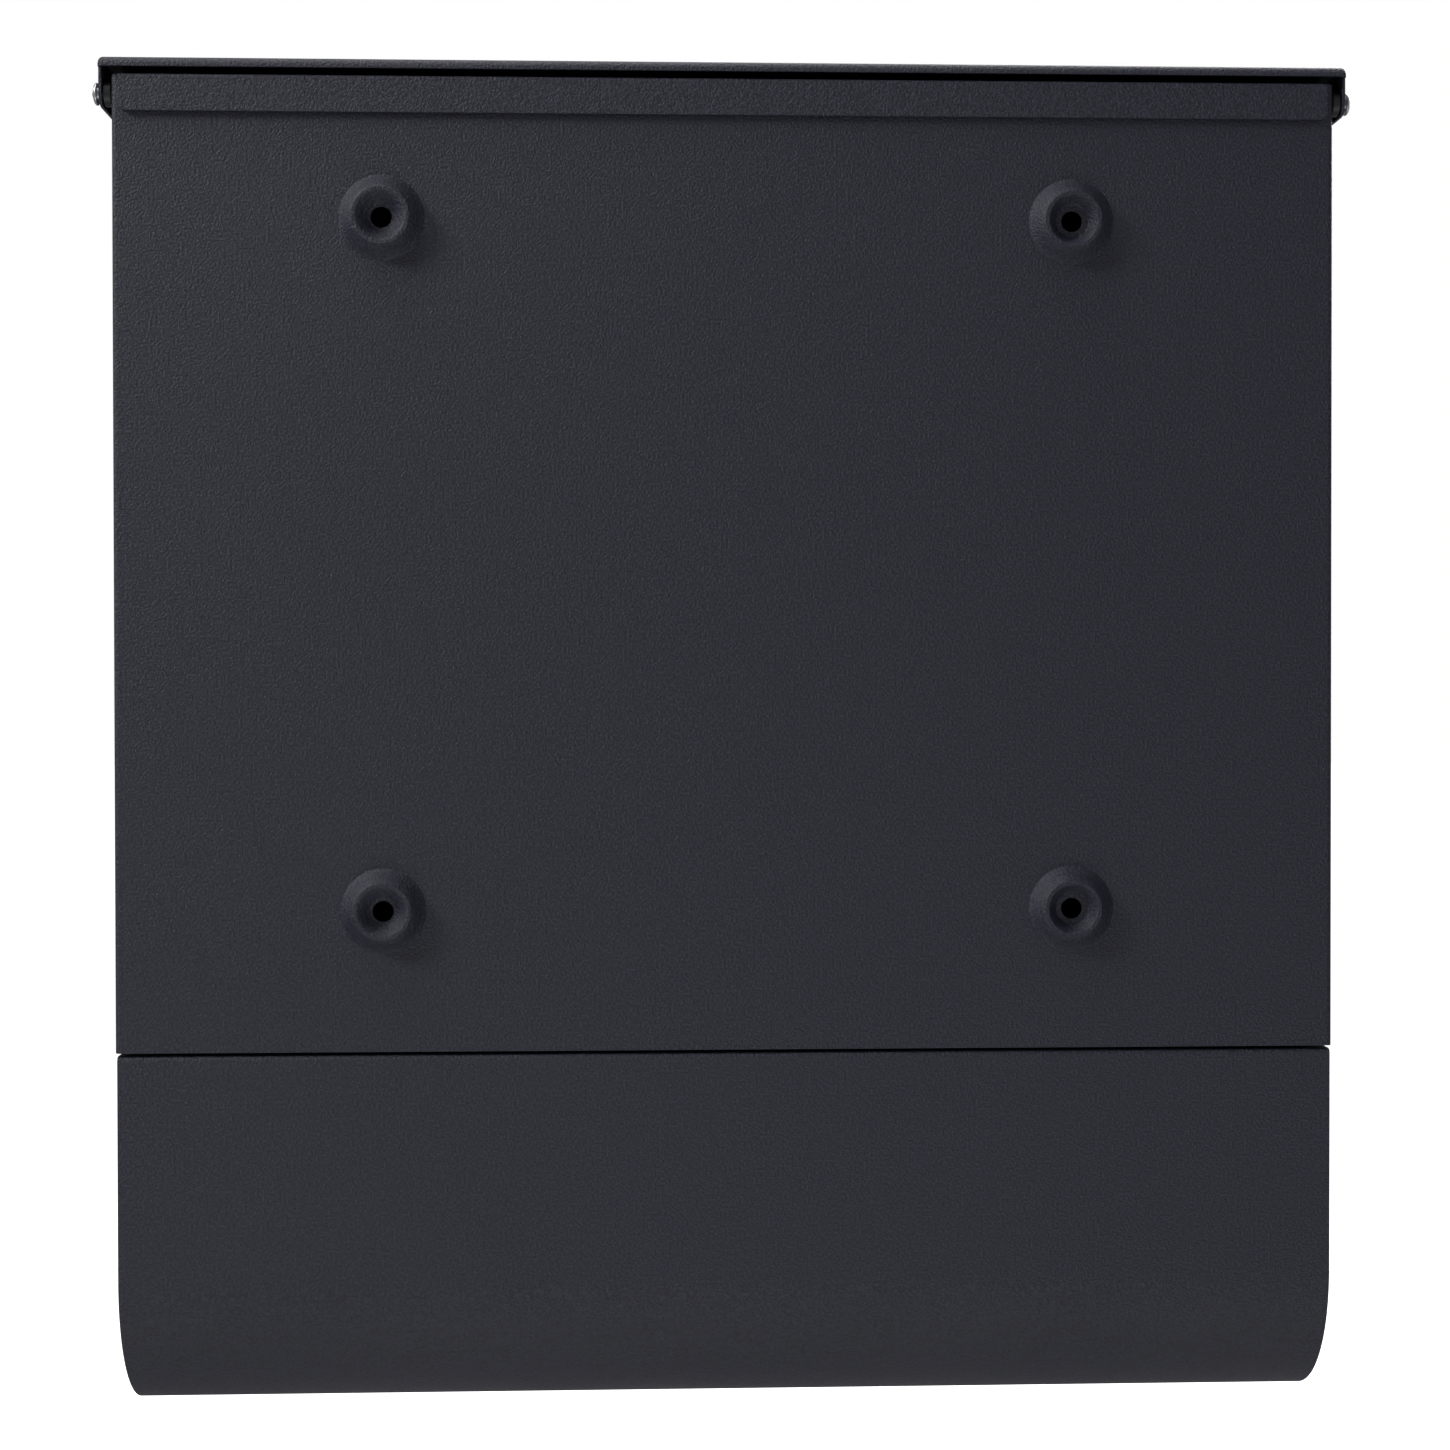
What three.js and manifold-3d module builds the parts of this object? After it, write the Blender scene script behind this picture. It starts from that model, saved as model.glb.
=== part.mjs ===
// Wall mailbox in folded sheet steel: a cabinet with a lift-up lid, a side-hung front door with a cam lock,
// and an open newspaper roll screwed under its floor.
//
// Millimetres, +Z up. The wall is the plane y = 0, the cabinet stands on its -Y side and its front faces -Y.
// The origin is the centre of the four fixing holes. Left and right are as seen from the front, left at -X.

import * as THREE from "three";
import { mergeVertices } from "three/addons/utils/BufferGeometryUtils.js";
import Module from "manifold-3d";

const wasm = await Module();
wasm.setup();

// ---------------------------------------------------------------------------------------------------------
// Driving dimensions
// ---------------------------------------------------------------------------------------------------------

const SHEET = 1.0; // steel sheet of the cabinet, door and roll
const LID_SHEET = 0.9; // steel sheet of the lid
const BEND = 1.0; // centreline radius of an ordinary fold
const REST_GAP = 0.3; // between pieces that touch
const HOLE_GAP = 0.15; // radial, round a fastener that is tight on the real object
const TURN_GAP = 0.25; // radial, round a shaft that something turns on

const BODY_WIDTH = 354.2;
const BODY_DEPTH = 88.5;
const BODY_TOP = 140.7;
const BODY_BOTTOM = -140.8;

const HOLE_SPACING_X = 200; // fixing holes, centre to centre
const HOLE_SPACING_Z = 200;
const HOLE_R = 3;
const BOSS_HEIGHT = 4.2; // how far the pressed rings hold the back off the wall
const BOSS_FOOT_R = 12.2;
const BOSS_CREST_OUT_R = 9.3;
const BOSS_CREST_IN_R = 7.9;
const BOSS_DISH_R = 5.2; // of the flat floor round the hole
const BOSS_DISH_HEIGHT = 0.8; // that floor, above the back panel

const HEM_GAP = 0.2; // air inside a flattened fold
const TOP_HEM = 10.7; // strip folded down over the top of the back panel
const TOP_HEM_CORNER_R = 2.5;
const TOP_HEM_INSET = 1.8; // its ends stop this far inside the cabinet's sides
const SIDE_HEM = 8; // strip folded in at the front edge of each side

const FLANGE = 12.8; // upturned rim of the floor tray
const FLOOR_DROP = 0.5; // the floor's underside, below the cabinet's lower edge
const RAIL_HEIGHT = 12.6;
const RAIL_TOP_DROP = 1.1; // top of the front rail, below the cabinet's top
const RAIL_SHELF = 16; // depth of the shelf that a door pin turns in
const RAIL_TOP_SHELF = 14;

const GUARD_LIP = 7;
const GUARD_DROP = 32;
const GUARD_REACH = 39.2;
const GUARD_TAB = 11;
const GUARD_GAP = 1; // behind the front rail

const ROLL_INSET = 0.6; // its ends stop this far inside the cabinet's sides
const ROLL_HANG = 109.3; // its lowest point, below the floor
const ROLL_SHELF = 72; // depth of the flange under the floor
const ROLL_UPRIGHT = 19.05; // straight front stretch above its curve
const ROLL_HEM = 8;

const SCREW_X = 120;
const SCREW_REAR = 20; // behind which row, from the back panel
const SCREW_FRONT = 58;
const SCREW_R = 1.95;
const SCREW_HEAD_R = 4;
const SCREW_HEAD = 2.6; // height of the head, and below it of its rim
const SCREW_RIM = 1.3;
const SCREW_CROWN_R = 2.8;
const SCREW_SLOT_LENGTH = 4.2; // each arm of the cross slot, end to end
const SCREW_SLOT_WIDTH = 1;
const SCREW_SLOT_DEPTH = 1.3;
const NUT_FLATS = 7;
const NUT_HEIGHT = 3.2;
const SCREW_SPARE = 1.5; // thread showing under the nut

const LID_SIDE_GAP = 2.8; // between the cabinet's side and the lid's
const LID_LIFT = 4.9; // top of the lid, above the cabinet
const LID_OVER_REAR = 1.5; // past the back panel
const LID_OVER_FRONT = 9; // past the door
const LID_REAR_LIP = 3;
const LID_REAR_ROUND = 2.4; // outer radii of the lid's folded edges
const LID_FRONT_ROUND = 3;
const LID_SIDE_ROUND = 1.5;
const LID_SKIRT = 13.75; // full height of the lid's sides and front
const LID_FRONT_HEM = 6;
const EAR_R = 3.95; // rounded rear corner of the lid's sides, this far behind the pivot
const PIVOT_DROP = 4.9; // lid pivot, below the cabinet's top
const PIVOT_CLEAR = 0.7; // between the rivet's tail and the back panel

const RIVET_R = 1.95;
const RIVET_HEAD_R = 3.2;
const RIVET_PLAY = 0.8; // between the lid's side and the rivet head
const RIVET_RIM = 0.5;
const RIVET_SHOULDER_R = 2.4;
const RIVET_SHOULDER = 0.56; // above the rim
const RIVET_DOME = 0.8; // above the rim
const RIVET_STUB = 0.3;
const RIVET_STUB_R = 1.1;
const RIVET_TAIL_R = 2.8;
const RIVET_TAIL = 3.2;
const RIVET_TAIL_TAPER = 1.28;
const SPACER_R = 3.6;

const DOOR_GAP = 1.3; // each side of the door
const DOOR_END_GAP = 1.6; // above and below it, where the pins' collars sit
const DOOR_RETURN = 10;
const PIN_IN = 10; // door pin, from the door's edge
const PIN_R = 2;
const PIN_COLLAR_R = 4;
const PIN_COLLAR = 1;
const PIN_CHAMFER = 0.5;
const PIN_TAIL_R = 2.7;
const PIN_TAIL = 2.5;
const PIN_LENGTH = 4.5; // of the pin past the door's end gap

const LOCK_IN = 25.6; // lock axis, from the door's free edge
const LOCK_Z = 0;
const LOCK_BEZEL_R = 9.5;
const LOCK_BEZEL = 1.7;
const LOCK_CHAMFER = 0.6;
const LOCK_BARREL_R = 8;
const LOCK_BARREL = 16;
const PLUG_R = 5.95;
const PLUG_SQUARE = 7;
const KEYWAY_WIDTH = 1.4;
const KEYWAY_HEIGHT = 7;
const KEYWAY_DEPTH = 9;
const LOCK_NUT_FLATS = 22;
const LOCK_NUT = 4;
const CAM_THICK = 2;
const CAM_WIDTH = 16;
const CAM_REACH = 25;
const CAM_SCREW_R = 1.95;
const CAM_SCREW_HEAD_R = 5;
const CAM_SCREW_HEAD = 2.5;
const CAM_SCREW_RIM = 1.25;
const CAM_SCREW_CROWN_R = 3;
const CAM_SCREW_LENGTH = 8;
const STRIKE_HEIGHT = 48;
const STRIKE_REACH = 14; // how far it stands in from the cabinet's side
const STRIKE_LEG = 19;
const STRIKE_CLEAR = 0.8; // in front of the cam
const BUFFER_WIDTH = 6;
const BUFFER_HEIGHT = 9;
const LID_BUFFER_X = 150;
const LID_BUFFER_R = 5;
const LID_BUFFER_SHOULDER_R = 4;
const LID_BUFFER_CROWN_R = 2;
const LID_BUFFER_BACK = 8; // behind the front rail's face

const WINDOW_WIDTH = 75;
const WINDOW_HEIGHT = 25;
const WINDOW_CORNER_R = 2;
const WINDOW_Z = 70;
const WINDOW_LAP = 3; // the clear sheet, past the cut-out
const WINDOW_THICK = 1;
const CARD_THICK = 0.5;
const HOLDER_WALL = 1;

// ---------------------------------------------------------------------------------------------------------
// Places worked out from them
// ---------------------------------------------------------------------------------------------------------

const REAR = -BOSS_HEIGHT; // rear face of the back panel
const FRONT = REAR - BODY_DEPTH; // front face of the cabinet and door
const HALF_SHEET = SHEET / 2;
const HEM_STEP = SHEET + HEM_GAP; // between the two leaves of a flattened fold
const HEM_BEND = HEM_STEP / 2;
const SIDE_OUT = BODY_WIDTH / 2;
const SIDE_IN = SIDE_OUT - SHEET;
const SIDE_HEM_IN = SIDE_IN - HEM_STEP;
const PANEL_IN = REAR - SHEET; // inner face of the back panel
const FLOOR_BOTTOM = BODY_BOTTOM - FLOOR_DROP;
const FLOOR_TOP = FLOOR_BOTTOM + SHEET;
const BETWEEN_HEMS = SIDE_HEM_IN - REST_GAP; // half width of what fits between the front hems
const SILL_TOP = FLOOR_BOTTOM + FLANGE + HALF_SHEET;
const RAIL_TOP = BODY_TOP - RAIL_TOP_DROP;
const RAIL_BOTTOM = RAIL_TOP - RAIL_HEIGHT;

const PIVOT_Y = PANEL_IN - PIVOT_CLEAR - RIVET_TAIL_R;
const PIVOT_Z = BODY_TOP - PIVOT_DROP;
const LID_SIDE_IN = SIDE_OUT + LID_SIDE_GAP;
const LID_SIDE_OUT = LID_SIDE_IN + LID_SHEET;
const LID_TOP = BODY_TOP + LID_LIFT;
const LID_REAR = REAR + LID_OVER_REAR;
const LID_FRONT = FRONT - LID_OVER_FRONT;
const LID_UNDER = LID_TOP - LID_SHEET;
const LID_BOTTOM = LID_TOP - LID_SKIRT;

const DOOR_OUT = SIDE_HEM_IN - DOOR_GAP; // half width of the door
const DOOR_TOP = RAIL_BOTTOM - DOOR_END_GAP;
const DOOR_BOTTOM = SILL_TOP + DOOR_END_GAP;
const PIN_X = -(DOOR_OUT - PIN_IN);
const PIN_Y = FRONT + SHEET + REST_GAP + PIN_TAIL_R;
const LOCK_X = DOOR_OUT - LOCK_IN;
const LOCK_AT = [LOCK_X, 0, LOCK_Z];
const BARREL_END = FRONT + LOCK_BARREL;
const CAM_FRONT = BARREL_END + REST_GAP * 2;
const CAM_REAR = CAM_FRONT + CAM_THICK;
const STRIKE_REAR = CAM_FRONT - STRIKE_CLEAR;
const ROLL_TOP = FLOOR_BOTTOM - REST_GAP;
const ROLL_OUT = SIDE_OUT - ROLL_INSET; // half width of the roll

// ---------------------------------------------------------------------------------------------------------
// Finishes
// ---------------------------------------------------------------------------------------------------------

function finish(color, roughness, metalness) {
  return new THREE.MeshStandardMaterial({ color, roughness, metalness });
}

const POWDER_COAT = finish(0x34363d, 0.6, 0);
const ZINC = finish(0xb9bcc0, 0.35, 1);
const CHROME = finish(0xd5d7da, 0.15, 1);
const NYLON = finish(0x202124, 0.5, 0);
const RUBBER = finish(0x18181a, 0.9, 0);
const CARD = finish(0xf2f1ec, 0.9, 0);
const CLEAR = new THREE.MeshStandardMaterial({
  color: 0xe8eef0,
  roughness: 0.1,
  metalness: 0,
  transparent: true,
  opacity: 0.35,
});

// ---------------------------------------------------------------------------------------------------------
// Solids
// ---------------------------------------------------------------------------------------------------------

const ROUND = 24; // sides of a small round
const ARC_SIDES = 5; // sides of a rounded corner
const CHORD_ERROR = 0.06; // most that a facet strays from a true curve
const GRID = 1000; // outlines keep to a thousandth of a millimetre, so that faces in one plane stay in it
const WELD = 1e-4; // points closer than this are one
const OVER = 1; // how far a cutting tool runs past what it cuts

const snap = (value) => Math.round(value * GRID) / GRID;

// A closed three.js geometry as a solid that can be joined and cut.
function solid(geometry) {
  const bare = geometry.index ? geometry : geometry.clone();
  bare.deleteAttribute("normal");
  bare.deleteAttribute("uv");
  const merged = mergeVertices(bare, WELD);
  return new wasm.Manifold(
    new wasm.Mesh({
      numProp: 3,
      vertProperties: new Float32Array(merged.attributes.position.array),
      triVerts: new Uint32Array(merged.index.array),
    }),
  );
}

// A solid as a flat-shaded three.js geometry.
function geometryOf(body) {
  const { numProp, vertProperties, triVerts } = body.getMesh();
  const positions = new Float32Array(triVerts.length * 3);
  triVerts.forEach((vertex, i) => {
    positions.set(vertProperties.subarray(vertex * numProp, vertex * numProp + 3), i * 3);
  });
  const geometry = new THREE.BufferGeometry();
  geometry.setAttribute("position", new THREE.BufferAttribute(positions, 3));
  geometry.computeVertexNormals();
  return geometry;
}

const join = (first, ...rest) => rest.reduce((whole, piece) => whole.add(piece), first);
const cut = (body, ...tools) => tools.reduce((whole, tool) => whole.subtract(tool), body);
const mirrorX = (body) => body.scale([-1, 1, 1]);

// A flat shape pushed along one axis. Its own two coordinates are (y, z) along x, (x, z) along y and
// (x, y) along z.
function push(axis, shape, from, to) {
  const options = { depth: to - from, bevelEnabled: false, curveSegments: ARC_SIDES };
  const geometry = new THREE.ExtrudeGeometry(shape, options);
  const toRow = {
    x: new THREE.Matrix4().set(0, 0, 1, from, 1, 0, 0, 0, 0, 1, 0, 0, 0, 0, 0, 1),
    y: new THREE.Matrix4().set(1, 0, 0, 0, 0, 0, -1, to, 0, 1, 0, 0, 0, 0, 0, 1),
    z: new THREE.Matrix4().makeTranslation(0, 0, from),
  };
  return solid(geometry.applyMatrix4(toRow[axis]));
}

// A box between two corners.
function block(x0, x1, y0, y1, z0, z1) {
  const geometry = new THREE.BoxGeometry(x1 - x0, y1 - y0, z1 - z0);
  return solid(geometry.translate((x0 + x1) / 2, (y0 + y1) / 2, (z0 + z1) / 2));
}

// A profile of [radius, distance] points, in either order, turned about an axis through a point.
function turn(axis, profile, at = [0, 0, 0], sides = ROUND) {
  const points = profile.map(([radius, along]) => new THREE.Vector2(radius, along));
  if (THREE.ShapeUtils.area(points) < 0) points.reverse();
  const geometry = new THREE.LatheGeometry([...points, points[0]], sides);
  if (axis === "x") geometry.rotateZ(-Math.PI / 2);
  if (axis === "z") geometry.rotateX(Math.PI / 2);
  return solid(geometry.translate(...at));
}

// A round bar along an axis, used for pins and to bore holes.
function bar(axis, radius, from, to, at) {
  const profile = [
    [0, from],
    [radius, from],
    [radius, to],
    [0, to],
  ];
  return turn(axis, profile, at);
}

// A hexagonal bar along an axis through a point, its bore open.
function hexNut(axis, flats, bore, from, to, at) {
  const hexagon = new THREE.Shape(
    Array.from({ length: 6 }, (_, i) => {
      const angle = (i * Math.PI) / 3;
      return new THREE.Vector2(Math.cos(angle), Math.sin(angle)).multiplyScalar(flats / Math.sqrt(3));
    }),
  );
  const body = push(axis, hexagon, from, to).translate(at);
  return cut(body, bar(axis, bore, from - OVER, to + OVER, at));
}

// The outline of a sheet folded along a line of corners [a, b, bend], each bent to its own centreline radius.
function foldedSheet(corners, thickness) {
  const points = corners.map(([a, b]) => new THREE.Vector2(a, b));
  const stations = [];
  points.forEach((corner, i) => {
    const into = i > 0 ? corner.clone().sub(points[i - 1]).normalize() : null;
    const out = i < points.length - 1 ? points[i + 1].clone().sub(corner).normalize() : null;
    if (!into || !out) {
      stations.push({ point: corner, heading: into || out });
      return;
    }
    const bend = corners[i][2] ?? BEND;
    const angle = Math.atan2(into.cross(out), into.dot(out));
    const start = corner.clone().addScaledVector(into, -bend * Math.tan(Math.abs(angle) / 2));
    const side = new THREE.Vector2(-into.y, into.x).multiplyScalar(Math.sign(angle) * bend);
    const centre = start.clone().add(side);
    const widest = 2 * Math.acos(1 - CHORD_ERROR / Math.max(bend, 4 * CHORD_ERROR));
    const steps = Math.max(2, Math.ceil(Math.abs(angle) / widest));
    for (let k = 0; k <= steps; k++) {
      const turned = (angle * k) / steps;
      stations.push({
        point: start.clone().rotateAround(centre, turned),
        heading: into.clone().rotateAround(new THREE.Vector2(), turned),
      });
    }
  });
  const offset = (sign) =>
    stations.map(({ point, heading }) => {
      const side = (sign * thickness) / 2;
      return new THREE.Vector2(snap(point.x - heading.y * side), snap(point.y + heading.x * side));
    });
  const outline = [...offset(1), ...offset(-1).reverse()];
  return new THREE.Shape(outline.filter((p, i) => p.distanceTo(outline.at(i - 1)) > 1 / GRID));
}

// A rectangle with its four corners rounded to [low left, low right, high right, high left] radii.
function roundedRect(a0, a1, b0, b1, [r0, r1, r2, r3]) {
  const shape = new THREE.Shape();
  shape.moveTo(a0 + r0, b0);
  shape.lineTo(a1 - r1, b0);
  if (r1) shape.absarc(a1 - r1, b0 + r1, r1, -Math.PI / 2, 0);
  shape.lineTo(a1, b1 - r2);
  if (r2) shape.absarc(a1 - r2, b1 - r2, r2, 0, Math.PI / 2);
  shape.lineTo(a0 + r3, b1);
  if (r3) shape.absarc(a0 + r3, b1 - r3, r3, Math.PI / 2, Math.PI);
  shape.lineTo(a0, b0 + r0);
  if (r0) shape.absarc(a0 + r0, b0 + r0, r0, Math.PI, Math.PI * 1.5);
  return shape;
}

// What comes off an edge along y at (x, z) to round it, with the metal below it and towards the middle.
function edgeRound(x, z, radius, from, to) {
  const waste = new THREE.Shape();
  waste.moveTo(x + OVER, z - radius);
  waste.lineTo(x + OVER, z + OVER);
  waste.lineTo(x - radius, z + OVER);
  waste.lineTo(x - radius, z);
  waste.absarc(x - radius, z - radius, radius, Math.PI / 2, 0, true);
  return push("y", waste, from, to);
}

// A smooth step from 0 to 1.
const ease = (t) => t * t * (3 - 2 * t);

// ---------------------------------------------------------------------------------------------------------
// Cabinet
// ---------------------------------------------------------------------------------------------------------

// Height of a boss's rear face above the back panel, at a radius from its hole.
function bossHeight(radius) {
  if (radius >= BOSS_FOOT_R) return 0;
  if (radius > BOSS_CREST_OUT_R) {
    return BOSS_HEIGHT * ease((BOSS_FOOT_R - radius) / (BOSS_FOOT_R - BOSS_CREST_OUT_R));
  }
  if (radius >= BOSS_CREST_IN_R) return BOSS_HEIGHT;
  if (radius > BOSS_DISH_R) {
    const climb = ease((radius - BOSS_DISH_R) / (BOSS_CREST_IN_R - BOSS_DISH_R));
    return BOSS_DISH_HEIGHT + (BOSS_HEIGHT - BOSS_DISH_HEIGHT) * climb;
  }
  return BOSS_DISH_HEIGHT;
}

// A pressed ring that stands off the wall, with the fixing hole in its dished middle.
function boss(x, z) {
  const steps = 4;
  const slope = (from, to) => Array.from({ length: steps }, (_, i) => from + ((to - from) * i) / steps);
  const radii = [
    HOLE_R,
    ...slope(BOSS_DISH_R, BOSS_CREST_IN_R),
    BOSS_CREST_IN_R,
    ...slope(BOSS_CREST_OUT_R, BOSS_FOOT_R),
    BOSS_FOOT_R,
    BOSS_FOOT_R + SHEET,
  ];
  const face = radii.map((radius) => [radius, REAR + bossHeight(radius)]);
  const inside = [...face].reverse().map(([radius, along]) => [radius, along - SHEET]);
  return turn("y", [...inside, ...face], [x, 0, z]);
}

function cabinetShell() {
  const side = SIDE_OUT - HALF_SHEET;
  const leaf = side - HEM_STEP;
  const nose = FRONT + HALF_SHEET;
  const back = REAR - HALF_SHEET;
  const half = [
    [leaf, FRONT + SIDE_HEM],
    [leaf, nose, HEM_BEND],
    [side, nose, HEM_BEND],
    [side, back],
  ];
  const plan = [...half, ...[...half].reverse().map(([x, y, bend]) => [-x, y, bend])];
  const wrap = push("z", foldedSheet(plan, SHEET), BODY_BOTTOM, BODY_TOP);

  const hemHalf = SIDE_OUT - TOP_HEM_INSET;
  const hemBottom = BODY_TOP - TOP_HEM;
  const hemJoin = hemBottom + TOP_HEM_CORNER_R + OVER;
  const foldTop = BODY_TOP - HALF_SHEET;
  const fold = foldedSheet(
    [
      [back, hemJoin],
      [back, foldTop, HEM_BEND],
      [back + HEM_STEP, foldTop, HEM_BEND],
      [back + HEM_STEP, hemJoin],
    ],
    SHEET,
  );
  const round = [TOP_HEM_CORNER_R, TOP_HEM_CORNER_R, 0, 0];
  const strip = roundedRect(-hemHalf, hemHalf, hemBottom, hemJoin + OVER, round);
  const room = block(-hemHalf, hemHalf, PANEL_IN - OVER, REAR + OVER, hemJoin, BODY_TOP + OVER);
  let shell = join(
    cut(wrap, room),
    push("x", fold, -hemHalf, hemHalf),
    push("y", strip, REAR + HEM_GAP, REAR + HEM_GAP + SHEET),
  );
  for (const x of [-HOLE_SPACING_X / 2, HOLE_SPACING_X / 2]) {
    for (const z of [-HOLE_SPACING_Z / 2, HOLE_SPACING_Z / 2]) {
      const seat = bar("y", BOSS_FOOT_R + HALF_SHEET, PANEL_IN - OVER, REAR + OVER, [x, 0, z]);
      shell = join(cut(shell, seat), boss(x, z));
    }
  }
  const reach = SIDE_OUT + OVER;
  return cut(shell, bar("x", RIVET_R + HOLE_GAP, -reach, reach, [0, PIVOT_Y, PIVOT_Z]));
}

// The four screw places under the floor, as [name, x, y].
const SCREW_PLACES = [
  ["rear_left", -SCREW_X, REAR - SCREW_REAR],
  ["rear_right", SCREW_X, REAR - SCREW_REAR],
  ["front_left", -SCREW_X, REAR - SCREW_FRONT],
  ["front_right", SCREW_X, REAR - SCREW_FRONT],
];

// Bores for the roll's screws, through everything between two heights.
function screwBores(z0, z1) {
  return SCREW_PLACES.map(([, x, y]) => bar("z", SCREW_R + HOLE_GAP * 2, z0, z1, [x, y, 0]));
}

function floorTray() {
  const rearFlange = PANEL_IN - REST_GAP - HALF_SHEET;
  const floor = FLOOR_BOTTOM + HALF_SHEET;
  const rim = FLOOR_BOTTOM + FLANGE;
  const face = FRONT + HALF_SHEET;
  const shelf = SILL_TOP - HALF_SHEET;
  const profile = foldedSheet(
    [
      [rearFlange, rim],
      [rearFlange, floor],
      [face, floor],
      [face, shelf],
      [FRONT + RAIL_SHELF, shelf],
    ],
    SHEET,
  );
  const sideFlange = SIDE_IN - REST_GAP - HALF_SHEET;
  const lap = BETWEEN_HEMS - RAIL_SHELF;
  const rib = foldedSheet(
    [
      [lap, floor],
      [sideFlange, floor],
      [sideFlange, rim],
    ],
    SHEET,
  );
  const right = push("y", rib, FRONT + SIDE_HEM + HALF_SHEET, rearFlange - SHEET);
  const tray = join(push("x", profile, -BETWEEN_HEMS, BETWEEN_HEMS), right, mirrorX(right));
  const pinBore = bar("z", PIN_R + TURN_GAP, shelf - SHEET, shelf + SHEET, [PIN_X, PIN_Y, 0]);
  return cut(tray, pinBore, ...screwBores(FLOOR_BOTTOM - OVER, FLOOR_TOP + OVER));
}

function topRail() {
  const face = FRONT + HALF_SHEET;
  const low = RAIL_BOTTOM + HALF_SHEET;
  const high = RAIL_TOP - HALF_SHEET;
  const profile = foldedSheet(
    [
      [FRONT + RAIL_SHELF, low],
      [face, low],
      [face, high],
      [FRONT + RAIL_TOP_SHELF, high],
    ],
    SHEET,
  );
  const pinBore = bar("z", PIN_R + TURN_GAP, low - SHEET, low + SHEET, [PIN_X, PIN_Y, 0]);
  return cut(push("x", profile, -BETWEEN_HEMS, BETWEEN_HEMS), pinBore);
}

// A sloping plate under the letter slot: it leads letters to the back and keeps hands out.
function letterGuard() {
  const start = FRONT + RAIL_SHELF + GUARD_GAP + HALF_SHEET;
  const high = RAIL_TOP - GUARD_GAP;
  const bendZ = high - GUARD_LIP;
  const end = start + GUARD_REACH;
  const endZ = bendZ - GUARD_DROP;
  const profile = foldedSheet(
    [
      [start, high],
      [start, bendZ, BEND * 2],
      [end, endZ, BEND * 2],
      [end, endZ - GUARD_LIP],
    ],
    SHEET,
  );
  const half = SIDE_IN - REST_GAP * 2;
  const tab = new THREE.Shape([
    new THREE.Vector2(start + SHEET, bendZ - SHEET),
    new THREE.Vector2(start + SHEET, bendZ - SHEET - GUARD_TAB),
    new THREE.Vector2(end - SHEET, endZ + SHEET - GUARD_TAB),
    new THREE.Vector2(end - SHEET, endZ + SHEET),
  ]);
  const right = push("x", tab, half - SHEET, half);
  return join(push("x", profile, -half, half), right, mirrorX(right));
}

// ---------------------------------------------------------------------------------------------------------
// Newspaper roll
// ---------------------------------------------------------------------------------------------------------

function newspaperRoll() {
  const top = ROLL_TOP - HALF_SHEET;
  const back = REAR - HALF_SHEET;
  const front = FRONT + HALF_SHEET;
  const low = FLOOR_BOTTOM - ROLL_HANG + HALF_SHEET;
  const curve = (back - front) / 2;
  const lip = low + curve + ROLL_UPRIGHT - HALF_SHEET;
  const profile = foldedSheet(
    [
      [REAR - ROLL_SHELF, top],
      [back, top],
      [back, low, curve],
      [front, low, curve],
      [front, lip, HEM_BEND],
      [front + HEM_STEP, lip, HEM_BEND],
      [front + HEM_STEP, lip - ROLL_HEM],
    ],
    SHEET,
  );
  const roll = push("x", profile, -ROLL_OUT, ROLL_OUT);
  return cut(roll, ...screwBores(ROLL_TOP - SHEET - OVER, ROLL_TOP + OVER));
}

// A pan-head screw with a cross slot, head up, its shank hanging through the floor and the roll's flange.
function rollScrew() {
  const seat = FLOOR_TOP + REST_GAP;
  const nutBottom = ROLL_TOP - SHEET - REST_GAP - NUT_HEIGHT;
  const top = seat + SCREW_HEAD;
  const body = turn("z", [
    [0, nutBottom - SCREW_SPARE],
    [SCREW_R, nutBottom - SCREW_SPARE],
    [SCREW_R, seat],
    [SCREW_HEAD_R, seat],
    [SCREW_HEAD_R, seat + SCREW_RIM],
    [SCREW_CROWN_R, top],
    [0, top],
  ]);
  const reach = SCREW_SLOT_LENGTH / 2;
  const half = SCREW_SLOT_WIDTH / 2;
  const floor = top - SCREW_SLOT_DEPTH;
  return cut(
    body,
    block(-reach, reach, -half, half, floor, top + OVER),
    block(-half, half, -reach, reach, floor, top + OVER),
  );
}

function rollNut() {
  const top = ROLL_TOP - SHEET - REST_GAP;
  return hexNut("z", NUT_FLATS, SCREW_R + HOLE_GAP, top - NUT_HEIGHT, top, [0, 0, 0]);
}

// ---------------------------------------------------------------------------------------------------------
// Lid
// ---------------------------------------------------------------------------------------------------------

// The lid's outer form, or its hollow where it is set in by the sheet, down to a height.
function lidForm(inset, bottom) {
  const side = LID_SIDE_OUT - inset;
  const top = LID_TOP - inset;
  const rear = LID_REAR - inset;
  const front = LID_FRONT + inset;
  const rounds = [0, 0, LID_REAR_ROUND - inset, LID_FRONT_ROUND - inset];
  const body = push("x", roundedRect(front, rear, bottom, top, rounds), -side, side);
  const edge = edgeRound(side, top, LID_SIDE_ROUND - inset, front - OVER, rear + OVER);
  return cut(body, edge, mirrorX(edge));
}

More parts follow.
